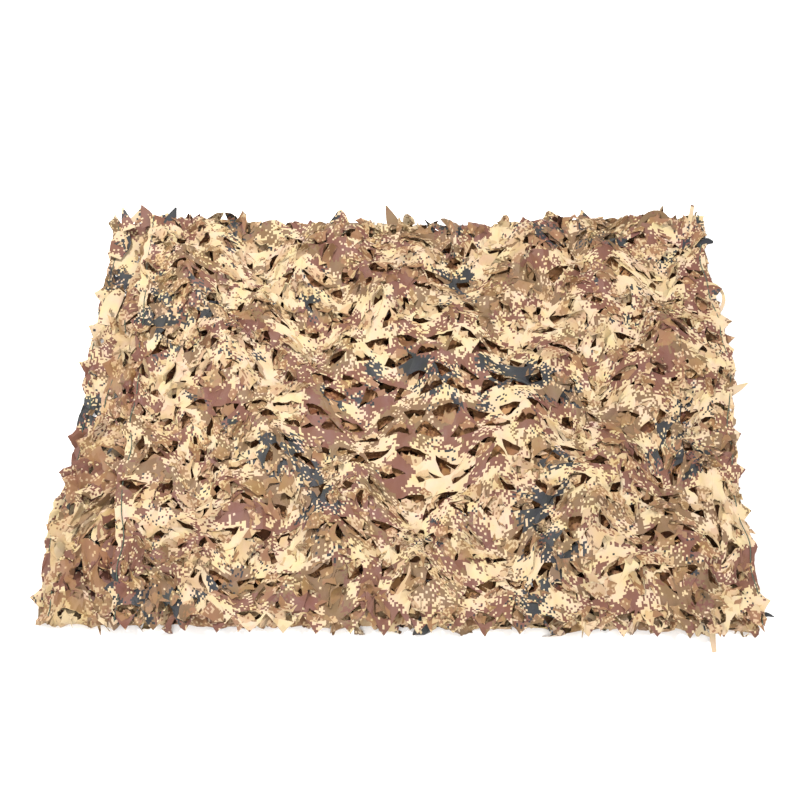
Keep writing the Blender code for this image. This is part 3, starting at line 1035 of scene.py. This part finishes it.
def merged(first, second):
    """One mesh out of two."""
    keep = new_object("keep", first)
    other = new_object("other", second)
    both = {"active_object": keep, "selected_editable_objects": [keep, other]}
    with bpy.context.temp_override(**both):
        bpy.ops.object.join()
    bpy.data.objects.remove(keep)
    return first


# ---------------------------------------------------------------- finishes


def new_finish(name, roughness, sheen):
    """Plain dielectric material with a Principled shader, and its node writer."""
    made = bpy.data.materials.new(name)
    made.use_nodes = True
    shader = made.node_tree.nodes["Principled BSDF"]
    values = {"Roughness": roughness, "Metallic": 0.0, "Specular IOR Level": 0.2}
    values.update({"Sheen Weight": sheen, "Sheen Roughness": 0.5})
    for label, value in values.items():
        shader.inputs[label].default_value = value
    shader.inputs["Sheen Tint"].default_value = (1.0, 0.88, 0.70, 1.0)
    return made, Nodes(made.node_tree), shader


def shaded(tone, strength=1.0):
    """Colour for a shader, made darker or lighter."""
    return (*[part * strength for part in tone], 1.0)


def ramped(nodes, share, stops):
    """Colour ramp with two stops, each given as its place and its colour."""
    ramp = nodes.add("ShaderNodeValToRGB", {"Fac": share})
    for element, (position, colour) in zip(ramp.color_ramp.elements, stops):
        element.position = position
        element.color = colour
    return ramp.outputs[0]


def weave_height(nodes, place, thread):
    """Over and under of a plain weave."""
    fine = nodes.vector("SCALE", place, scale=math.pi / thread)
    x, y, _ = nodes.parts(fine)
    return nodes.times(nodes.math("SINE", x), nodes.math("SINE", y))


# Patches of the print, each laid over those before: colour, place in the noise, scale,
# least value, raggedness of the border
PRINT_PATCHES = (
    ("taupe", (1.7, 4.2, 0), 7.8, 0.525, 0.07),
    ("mauve", (9.4, 2.3, 0), 8.8, 0.529, 0.075),
    ("slate", (5.2, 8.8, 0), 5.6, 0.596, 0.065),
)
# Colour, place in the noise and rarity of single squares
PALE_SQUARES = (("cream", (6.3, 1.2, 0.9), 0.0),)
DARK_SQUARES = (("mauve", (4.4, 9.1, 0.2), 0.0), ("slate", (8.2, 5.5, 0.7), 0.02))
# Crowds of squares, the first on the dark patches and the second on the cream: place in the
# noise, scale, slope, level, squares
PRINT_CROWDS = (
    ((2.6, 6.1, 0), 9.0, -1.1, 1.455, PALE_SQUARES),
    ((7.9, 3.4, 0), 10.0, -0.9, 1.45, DARK_SQUARES),
)
# Place in the noise of what roughens the patches' borders, and how fine the noises are
SCATTER_PLACE = (3.1, 7.7, 0.5)
GRAIN_SCALE = 0.77
PATCH_DETAIL = 3.5
CROWD_DETAIL = 2.0
PRINT_ROUGHNESS = 0.62


def random_print(nodes, place, look):
    """Colour of a random print of squares in four colours, made from noise alone."""
    square = look.print_square
    snapped = nodes.vector("SNAP", place, (square, square, 1.0))

    def field(offset, scale, detail):
        spot = nodes.vector("ADD", snapped, offset)
        return nodes.noise(spot, scale, detail, Roughness=PRINT_ROUGHNESS)

    def grains(offset):
        spot = nodes.vector("ADD", snapped, offset)
        fine = nodes.vector("SCALE", spot, scale=GRAIN_SCALE / square)
        return nodes.out("ShaderNodeTexWhiteNoise", {"Vector": fine})

    def over(below, name, mask):
        return nodes.mixed(below, shaded(getattr(look, name)), mask)

    scatter = nodes.minus(grains(SCATTER_PLACE), 0.5)
    colour = shaded(look.cream)
    dark = 0.0
    for name, offset, scale, least, ragged in PRINT_PATCHES:
        value = nodes.plus(field(offset, scale, PATCH_DETAIL), nodes.times(scatter, ragged))
        patch = nodes.math("GREATER_THAN", value, least)
        colour = over(colour, name, patch)
        dark = nodes.math("MAXIMUM", dark, patch)
    grounds = (dark, nodes.minus(1, dark))
    for ground, (offset, scale, slope, level, squares) in zip(grounds, PRINT_CROWDS):
        crowd = field(offset, scale, CROWD_DETAIL)
        crowd = nodes.math("MULTIPLY_ADD", crowd, slope, level)
        for name, spot, rarity in squares:
            seen = nodes.math("GREATER_THAN", grains(spot), nodes.plus(crowd, rarity))
            colour = over(colour, name, nodes.times(seen, ground))
    return colour


# Share of the plain back's colour that is laid over the print on the cloth's back
BACK_SHARE = 0.45
# Painted shade on the cloth beneath the top layer: how much red, green and blue it loses there,
# standing in for the dim, warm light under the top layer
UNDER_PAINTED_SHADE = (0.34, 0.55, 0.69)
# How far the colour wanders in red, green and blue from leaf to leaf, and how finely: partly
# uneven dye, partly painted sheen and painted glow of light shining through the cloth
DYE_AND_SHEEN_WANDER = (0.10, 0.26, 0.75)
DYE_AND_SHEEN_SCALE = 26.0
# How fine and how detailed the crinkles are
CRINKLE_SCALE = 70.0
CRINKLE_DETAIL = 3.0
# Strength and depth of the bumps
CRINKLE_BUMP = (0.35, 0.0035)
WEAVE_BUMP = (0.35, 0.0001)
FIBRE_BUMP = (0.5, 0.0004)
# How fine the twine's fibres are round it and along it
FIBRE_SCALE = (900, 40, 1)
FIBRE_DETAIL = 3.0


def cloth_finish(name, look, back_share):
    """Printed polyester: weave, crinkles and a random print; the back shows it more palely. The
    colour wanders from leaf to leaf for uneven dye and painted sheen, and the cloth beneath the
    top layer takes painted shade.
    """
    made, nodes, shader = new_finish(name, look.roughness, 0.08)
    place = nodes.out("ShaderNodeUVMap", uv_map="UVMap")
    colour = random_print(nodes, place, look)
    # The back: print mixed with the back colour, whose golden brown partly paints light shining
    # through the cloth
    if back_share:
        colour = nodes.mixed(colour, shaded(look.back), back_share)
    # Uneven dye together with painted sheen and glow of light through the cloth: the colour
    # wanders from leaf to leaf
    dye_and_sheen = nodes.noise(place, DYE_AND_SHEEN_SCALE, output="Color")
    dye_and_sheen = nodes.vector("MULTIPLY", nodes.vector("SUBTRACT", dye_and_sheen, (0.5, 0.5, 0.5)), DYE_AND_SHEEN_WANDER)
    colour = nodes.vector("MULTIPLY", colour, nodes.vector("ADD", dye_and_sheen, (1, 1, 1)))
    # Painted shade: the cloth beneath the top layer is made darker and warmer by the share stored
    # with each point
    covered = nodes.add("ShaderNodeAttribute", attribute_name="covered").outputs["Fac"]
    painted_shade_loss = nodes.vector("SCALE", UNDER_PAINTED_SHADE, scale=covered)
    colour = nodes.vector("MULTIPLY", colour, nodes.vector("SUBTRACT", (1, 1, 1), painted_shade_loss))
    nodes.tree.links.new(colour, shader.inputs["Base Color"])
    crinkle = nodes.noise(place, CRINKLE_SCALE, CRINKLE_DETAIL)
    crinkle = nodes.bump(crinkle, *CRINKLE_BUMP)
    weave = weave_height(nodes, place, look.thread)
    bump = nodes.bump(weave, *WEAVE_BUMP, Normal=crinkle)
    nodes.tree.links.new(bump, shader.inputs["Normal"])
    return made


def cloth_finishes(look):
    """Printed side and back of the cloth, made once."""
    sides = (("printed_cloth", 0.0), ("cloth_back", BACK_SHARE))
    return [
        bpy.data.materials.get(name) or cloth_finish(name, look, share) for name, share in sides
    ]


def twine_finish(look):
    """Dark green twisted twine with darker grooves and stray pale fibres."""
    made, nodes, shader = new_finish("green_twine", 0.8, 0.2)
    place = nodes.out("ShaderNodeUVMap", uv_map="UVMap")
    fibres = nodes.noise(nodes.vector("MULTIPLY", place, FIBRE_SCALE), 1.0, FIBRE_DETAIL)
    stops = ((0.35, shaded(look.twine, 0.45)), (0.75, shaded(look.twine, 1.5)))
    nodes.tree.links.new(ramped(nodes, fibres, stops), shader.inputs["Base Color"])
    nodes.tree.links.new(nodes.bump(fibres, *FIBRE_BUMP), shader.inputs["Normal"])
    return made


def floor_finish(look):
    """Matt white board with a faint unevenness."""
    made, nodes, shader = new_finish("white_board", 0.9, 0.0)
    place = nodes.add("ShaderNodeTexCoord").outputs["Object"]
    stops = ((0.0, shaded(look.board, 0.985)), (1.0, shaded(look.board)))
    board = ramped(nodes, nodes.noise(place, 3.0), stops)
    nodes.tree.links.new(board, shader.inputs["Base Color"])
    return made


# ---------------------------------------------------------------- settings


def colour_setting(name, description, default):
    limits = {"size": 3, "min": 0.0, "max": 1.0, "subtype": "COLOR"}
    return FloatVectorProperty(name=name, description=description, default=default, **limits)


def length_setting(name, description, default):
    return FloatProperty(name=name, description=description, default=default, unit="LENGTH")


class NetSettings(bpy.types.PropertyGroup):
    seed: IntProperty(name="Seed", description="Choice and place of the cells", default=7)
    wander: length_setting(
        "Wander", "How far the cells are pulled out of their straight rows", 0.0085
    )
    crumple: length_setting(
        "Crumple", "How far the ribbons rise and dip between the cells", 0.0065
    )
    thickness: length_setting("Thickness", "Thickness of the cloth", 0.0004)


class PrintSettings(bpy.types.PropertyGroup):
    cream: colour_setting("Cream", "Ground colour of the print", (0.388, 0.294, 0.180))
    taupe: colour_setting("Taupe", "Brown-grey of the print", (0.124, 0.072, 0.036))
    mauve: colour_setting("Mauve", "Dusty red-brown of the print", (0.110, 0.045, 0.030))
    slate: colour_setting("Slate", "Dark blue-grey of the print", (0.017, 0.018, 0.020))
    # The back's golden brown is partly its own colour and partly painted glow of light shining
    # through the thin cloth
    back: colour_setting("Back", "Unprinted back of the cloth", (0.240, 0.134, 0.056))
    print_square: length_setting("Print square", "Side of a square of the print", 0.0043)
    thread: length_setting("Thread", "Distance between the cloth's threads", 0.0006)
    roughness: FloatProperty(name="Roughness", description="Roughness of the cloth", default=0.52)


class TwineSettings(bpy.types.PropertyGroup):
    twine: colour_setting("Twine", "Colour of the selvage twines", (0.045, 0.075, 0.055))
    lay: length_setting("Lay", "Length of one turn of the strands", 0.010)
    stitch_dip: length_setting(
        "Stitch dip", "How far the twine dips through the cloth at each stitch", 0.004
    )


class StageSettings(bpy.types.PropertyGroup):
    board: colour_setting("Board", "Colour of the floor", (0.95, 0.95, 0.95))
    elevation: FloatProperty(
        name="Elevation",
        description="Camera above the floor",
        subtype="ANGLE",
        default=math.radians(59.7),
    )
    distance: length_setting("Distance", "Camera to the middle of the net", 2.82)
    lens: FloatProperty(name="Lens", description="Focal length in millimetres", default=57.1)


# ---------------------------------------------------------------- pieces

# How the rows stray, by axis: waves across, waves along, phase, reach
STRAY_WAVES = {
    0: ((1.6, 2.3, 0.7, 0.010), (-4.3, 3.1, 2.2, 0.007)),
    1: ((2.7, 1.4, 1.9, 0.018), (5.6, -2.6, 4.0, 0.012), (9.3, 3.7, 0.4, 0.008)),
}
STRAY_MARGIN = 0.10

# How far the cells along the long edges are drawn together, and over what share of the width
GATHER = 0.3
GATHER_WIDTH = 0.06

# Each layer's name and how far its gaps stand open, less where the net lies less stretched
LAYERS = (("net_top_layer", 1.0), ("net_middle_layer", 0.85), ("net_bottom_layer", 0.5))
# Where the leaves stand: layer, from how far to how far across the net
LEAF_FIELDS = ((0, -0.72, 0.72), (1, -0.72, -0.48))


def net_values(settings, finish):
    """What both trees of the net are given alike."""
    shared = {name: getattr(settings, name.lower()) for name in ("Wander", "Crumple", "Seed")}
    return {"Cloth": finish, **shared}


def flat_layer(number, tree, cells, settings, finish):
    """One layer's share of the flat net."""
    values = {
        **net_values(settings, finish),
        "Cells": cells,
        "Kinds": 2 * len(CELL_KINDS),
        "Calm Kinds": CRESCENT_KINDS,
        "Edge Kinds": len(EDGE_TIPS),
        "Columns": COLUMNS,
        "First Row": number * ROWS_IN_A_LAYER,
        "Rows": ROWS_IN_A_LAYER,
        "Pitch": PITCH,
        "Row Pitch": ROW_PITCH,
    }
    return grown(tree, values, "flat_net")


def flat_leaves(field, tree, leaves, settings, finish):
    """The leaves on the ribbons of one part of the flat net."""
    layer, least_across, most_across = field
    width = most_across - least_across - 2 * LEAF_MARGIN
    length = LAYER_LENGTH - 2 * LEAF_MARGIN
    values = {
        **net_values(settings, finish),
        "Leaves": leaves,
        "Kinds": len(RIBBON_LEAVES),
        "Columns": round(width / LEAF_SPACING) + 1,
        "Rows": round(length / LEAF_SPACING) + 1,
        "Size": (width, length, 0.0),
        "Middle": ((least_across + most_across) / 2, (layer + 0.5) * LAYER_LENGTH, 0.0),
        "Spacing": LEAF_SPACING,
    }
    return grown(tree, values, "flat_leaves")


def strayed(flat):
    """Rows and columns drawn out of line, except near the net's own edges."""
    across, along, _ = flat.T
    u = across / CLOTH_WIDTH
    v = along / LAYER_LENGTH
    fade = np.clip((CORD_ACROSS - np.abs(across)) / STRAY_MARGIN, 0, 1)
    fade *= np.clip(along / STRAY_MARGIN, 0, 1)
    moved = flat.copy()
    to_edge = 0.5 - np.abs(u)
    gathered = GATHER * GATHER_WIDTH * (1 - np.exp(-to_edge / GATHER_WIDTH))
    spread = 1 + 2 * GATHER * GATHER_WIDTH
    moved[:, 0] = np.sign(across) * CLOTH_WIDTH * (0.5 - (to_edge * spread - gathered))
    for axis, waves in STRAY_WAVES.items():
        for waves_across, waves_along, phase, reach in waves:
            turn = 2 * math.pi * (waves_across * u + waves_along * v) + phase
            moved[:, axis] += reach * fade * np.sin(turn)
    return moved


# How far in from the folds and from the long edges the painted shade of the cloth beneath the top
# layer starts
PAINTED_SHADE_FROM_FOLD = 0.02
PAINTED_SHADE_FROM_EDGE = 0.03
# Creases sharper than this stay sharp
SHARP_ANGLE = math.radians(20)


def fold_mesh(mesh):
    """Moves the points of a flat mesh to their places in the folded stack, and stores how much
    painted shade each point takes beneath the top layer.
    """
    places = np.empty(len(mesh.vertices) * 3)
    mesh.vertices.foreach_get("co", places)
    flat = strayed(places.reshape(-1, 3))
    across, along, _ = flat.T
    # Share of painted shade beneath the top layer, fading out near the folds, the long edges and
    # the open margin
    from_folds = BACK_CENTRE_Y - PAINTED_SHADE_FROM_FOLD - np.abs(section(along)[0])
    from_edges = CLOTH_WIDTH / 2 - PAINTED_SHADE_FROM_EDGE - np.abs(across)
    inwards = np.minimum(from_folds, from_edges)
    under = np.clip(inwards / MARGIN_BLEND, 0.0, 1.0) * (along > BACK_FOLD_END)
    under -= open_above(flat)
    covered = mesh.attributes.new("covered", "FLOAT", "POINT")
    covered.data.foreach_set("value", np.maximum(under, 0.0))
    mesh.vertices.foreach_set("co", folded(settled(flat)).ravel())
    mesh.update()


def thick_cloth(mesh, name, thickness, finishes):
    """The folded cloth with its own thickness, printed side and back."""
    mesh.materials.clear()
    for finish in finishes:
        mesh.materials.append(finish)
    helper = new_object("thin_net", mesh)
    shell = helper.modifiers.new("Thickness", "SOLIDIFY")
    shell.thickness = thickness
    shell.offset = 1.0
    shell.material_offset = 1
    shell.use_quality_normals = True
    made = plain_copy(helper, name)
    drop(helper)
    for leftover in [item.name for item in made.attributes]:
        if leftover.startswith(("cell_", "laid_", "unpulled")):
            made.attributes.remove(made.attributes[leftover])
    made.polygons.foreach_set("use_smooth", [True] * len(made.polygons))
    made.set_sharp_from_angle(angle=SHARP_ANGLE)
    return made


class CAMONET_OT_net_layers(bpy.types.Operator):
    """Cut net in its three folded layers, with the leaves of its gaps"""

    bl_idname = "camonet.net_layers"
    bl_label = "Net layers"

    def execute(self, context):
        settings = context.scene.net_settings
        finishes = cloth_finishes(context.scene.print_settings)
        tree = lattice_tree()
        for number, (name, openness) in enumerate(LAYERS):
            cells = make_cells(settings.seed, openness)
            mesh = flat_layer(number, tree, cells, settings, finishes[0])
            empty(cells)
            fold_mesh(mesh)
            made = thick_cloth(mesh, name, settings.thickness, finishes)
            if not made.polygons:
                raise RuntimeError(f"{name} has no faces")
            layer = new_object(name, made)
            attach(layer, "root")
            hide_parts("net_cloth")
        return {"FINISHED"}


class CAMONET_OT_ribbon_leaves(bpy.types.Operator):
    """Leaves that stand up from the ribbons, and the loose slips at the edges"""

    bl_idname = "camonet.ribbon_leaves"
    bl_label = "Ribbon leaves"

    def execute(self, context):
        settings = context.scene.net_settings
        finishes = cloth_finishes(context.scene.print_settings)
        leaves = make_leaves(settings.seed)
        tree = leaf_tree()
        joined = None
        for field in LEAF_FIELDS:
            mesh = flat_leaves(field, tree, leaves, settings, finishes[0])
            fold_mesh(mesh)
            joined = merged(joined, mesh) if joined else mesh
        empty(leaves)
        for colour, *points in LOOSE_SLIPS.values():
            joined = merged(joined, slip_mesh(PRINT_PLACES[colour], points))
        made = thick_cloth(joined, "net_leaves", settings.thickness, finishes)
        if not made.polygons:
            raise RuntimeError("the leaves have no faces")
        piece = new_object("net_leaves", made)
        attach(piece, "root")
        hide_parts("net_cloth")
        return {"FINISHED"}


# Least and most share of the radius that the three strands of a twine reach
STRAND_SHARES = (0.72, 1.04)
STRANDS = 3


def twine_tree():
    """Tree that lays three twisted strands along a curve."""
    inputs = {"Radius": "Float", "Lay": "Float", "Step": "Float", "Twine": "Material"}
    tree, nodes, given, result = geometry_tree("twisted_twine", inputs)
    inputs = {"Curve": given["Geometry"], "Length": given["Step"]}
    line = nodes.out("GeometryNodeResampleCurve", inputs, mode="LENGTH")
    travelled = nodes.add("GeometryNodeSplineParameter").outputs["Length"]
    tilt = nodes.times(nodes.math("DIVIDE", travelled, given["Lay"]), 2 * math.pi)
    line = nodes.out("GeometryNodeSetCurveTilt", {"Curve": line, "Tilt": tilt})
    line = nodes.store(line, "travelled", travelled, "FLOAT")
    inputs = {"Resolution": 12, "Radius": given["Radius"]}
    ring = nodes.out("GeometryNodeCurvePrimitiveCircle", inputs)
    share = nodes.add("GeometryNodeSplineParameter").outputs["Factor"]
    wave = nodes.math("COSINE", nodes.times(share, 2 * math.pi * STRANDS))
    least, most = STRAND_SHARES
    stretch = nodes.math("MULTIPLY_ADD", wave, (most - least) / 2, (most + least) / 2)
    lobed = nodes.vector("SCALE", nodes.here(), scale=stretch)
    ring = nodes.store(ring, "around", share, "FLOAT")
    ring = nodes.out("GeometryNodeSetPosition", {"Geometry": ring, "Position": lobed})
    inputs = {"Curve": line, "Profile Curve": ring, "Fill Caps": True}
    body = nodes.out("GeometryNodeCurveToMesh", inputs)
    around, travelled = (nodes.stored(name, "FLOAT") for name in ("around", "travelled"))
    body = nodes.store_print_place(body, nodes.combined(around, travelled))
    body = nodes.out("GeometryNodeRealizeInstances", {"Geometry": body})
    nodes.finish_geometry(body, given["Twine"], result)
    return tree


# How the twines sway between the ribbons: radians for each metre, phase by side, reach
SWAYS = ((11.0, 1.0, 0.0035), (37.0, 0.0, 0.0015))
# Distance between the points of the twine's line and between the rings round it
LINE_STEP = 0.006
RING_STEP = 0.003
# Lowest dip below the cloth, and least height over the floor in radii of the twine
LOWEST_DIP = -0.001
FLOOR_CLEARANCE = 1.1


class CAMONET_OT_selvage_twines(bpy.types.Operator):
    """Green twine laced along both long edges of the net"""

    bl_idname = "camonet.selvage_twines"
    bl_label = "Selvage twines"

    def execute(self, context):
        settings = context.scene.twine_settings
        values = {"Radius": CORD_RADIUS, "Lay": settings.lay, "Step": RING_STEP}
        values["Twine"] = twine_finish(settings)
        tree = twine_tree()
        height = CAD_CLOTH_THICKNESS + CORD_CLEARANCE + CORD_RADIUS
        along = np.arange(0.0, CLOTH_LENGTH, LINE_STEP)
        dips = 0.5 - 0.5 * np.cos(math.pi * along / ROW_PITCH)
        heights = np.maximum(height - settings.stitch_dip * dips, LOWEST_DIP)
        for name, side in (("left", -1), ("right", 1)):
            across = np.full_like(along, side * CORD_ACROSS)
            for waves, phase, reach in SWAYS:
                across += reach * np.sin(along * waves + side * phase)
            places = folded(np.column_stack((across, along, heights)))
            places[:, 2] = np.maximum(places[:, 2], CORD_RADIUS * FLOOR_CLEARANCE)
            curve = bpy.data.curves.new("twine_line", "CURVE")
            curve.dimensions = "3D"
            spline = curve.splines.new("POLY")
            spline.points.add(len(places) - 1)
            weighted = np.column_stack((places, np.ones(len(places))))
            spline.points.foreach_set("co", weighted.ravel())
            mesh = grown(tree, values, f"twine_{name}", curve)
            if not mesh.polygons:
                raise RuntimeError(f"the {name} twine has no faces")
            mesh.polygons.foreach_set("use_smooth", [True] * len(mesh.polygons))
            twine = new_object(f"twine_{name}", mesh)
            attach(twine, "root")
            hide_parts(f"selvage_cord_{name}")
        return {"FINISHED"}


# Soft boxes: place, what they point at, width, power, colour
SOFT_BOXES = (
    ((-1.3, 1.0, 3.0), (0, 0, 0), 0.5, 168.0, (1.0, 0.99, 0.97)),
    ((1.9, 0.2, 2.6), (0, 0, 0), 1.2, 50.0, (0.98, 0.99, 1.0)),
    ((0.0, -2.4, 1.8), (0, -0.4, 0), 2.2, 55.0, (1.0, 1.0, 1.0)),
)
SKY_STRENGTH = 0.92
SKY_COLOUR = (1.0, 0.97, 0.93, 1.0)
FLOOR_SIDE = 30.0
# What the camera looks at, and its yaw and roll in degrees
CAMERA_TARGET = (-0.0036, 0.0327, 0.0)
CAMERA_YAW = 2.93
CAMERA_ROLL = -2.24


class CAMONET_OT_stage(bpy.types.Operator):
    """Pale floor, soft studio light and the camera"""

    bl_idname = "camonet.stage"
    bl_label = "Stage"

    def execute(self, context):
        settings = context.scene.stage_settings
        floor = bpy.data.meshes.new("floor")
        half = FLOOR_SIDE / 2
        corners = [(-half, -half, 0), (half, -half, 0), (half, half, 0), (-half, half, 0)]
        floor.from_pydata(corners, [], [(0, 1, 2, 3)])
        floor.materials.append(floor_finish(settings))
        new_object("floor", floor)

        world = bpy.data.worlds.new("studio")
        world.use_nodes = True
        sky = world.node_tree.nodes["Background"]
        sky.inputs["Color"].default_value = SKY_COLOUR
        sky.inputs["Strength"].default_value = SKY_STRENGTH
        context.scene.world = world
        for number, (place, aim, width, power, colour) in enumerate(SOFT_BOXES):
            light = bpy.data.lights.new(f"soft_box_{number}", "AREA")
            light.shape = "SQUARE"
            light.size = width
            light.energy = power
            light.color = colour
            box = new_object(light.name, light)
            box.location = place
            way = Vector(aim) - Vector(place)
            box.rotation_euler = way.to_track_quat("-Z", "Y").to_euler()

        camera = bpy.data.cameras.new("camera")
        camera.lens = settings.lens
        camera.sensor_width = 36.0
        eye = new_object("camera", camera)
        target = Vector(CAMERA_TARGET)
        yaw = math.radians(CAMERA_YAW)
        tilt = settings.elevation
        back = Vector(
            (math.sin(yaw) * math.cos(tilt), -math.cos(yaw) * math.cos(tilt), math.sin(tilt))
        )
        eye.location = target + back * settings.distance
        level = (-back).to_track_quat("-Z", "Y").to_matrix()
        roll = Matrix.Rotation(math.radians(CAMERA_ROLL), 3, "Z")
        eye.rotation_euler = (level @ roll).to_euler()
        context.scene.camera = eye
        context.scene.view_settings.view_transform = "Standard"
        return {"FINISHED"}


class CAMONET_PT_net(bpy.types.Panel):
    bl_label = "Camouflage net"
    bl_idname = "CAMONET_PT_net"
    bl_space_type = "VIEW_3D"
    bl_region_type = "UI"
    bl_category = "Net"

    def draw(self, context):
        scene = context.scene
        for operator, groups in STEPS:
            box = self.layout.box()
            box.operator(operator.bl_idname)
            for name in groups:
                settings = getattr(scene, name)
                for item in settings.__annotations__:
                    box.prop(settings, item)


STEPS = (
    (CAMONET_OT_net_layers, ("net_settings", "print_settings")),
    (CAMONET_OT_ribbon_leaves, ()),
    (CAMONET_OT_selvage_twines, ("twine_settings",)),
    (CAMONET_OT_stage, ("stage_settings",)),
)
GROUPS = {
    "net_settings": NetSettings,
    "print_settings": PrintSettings,
    "twine_settings": TwineSettings,
    "stage_settings": StageSettings,
}


def register():
    for group in GROUPS.values():
        bpy.utils.register_class(group)
    for operator, _ in STEPS:
        bpy.utils.register_class(operator)
    bpy.utils.register_class(CAMONET_PT_net)
    for name, group in GROUPS.items():
        setattr(bpy.types.Scene, name, PointerProperty(type=group))


def unregister():
    for name in GROUPS:
        delattr(bpy.types.Scene, name)
    bpy.utils.unregister_class(CAMONET_PT_net)
    for operator, _ in reversed(STEPS):
        bpy.utils.unregister_class(operator)
    for group in reversed(list(GROUPS.values())):
        bpy.utils.unregister_class(group)


def main():
    register()
    bpy.ops.camonet.net_layers()
    bpy.ops.camonet.ribbon_leaves()
    bpy.ops.camonet.selvage_twines()
    bpy.ops.camonet.stage()


if __name__ == "__main__":
    main()
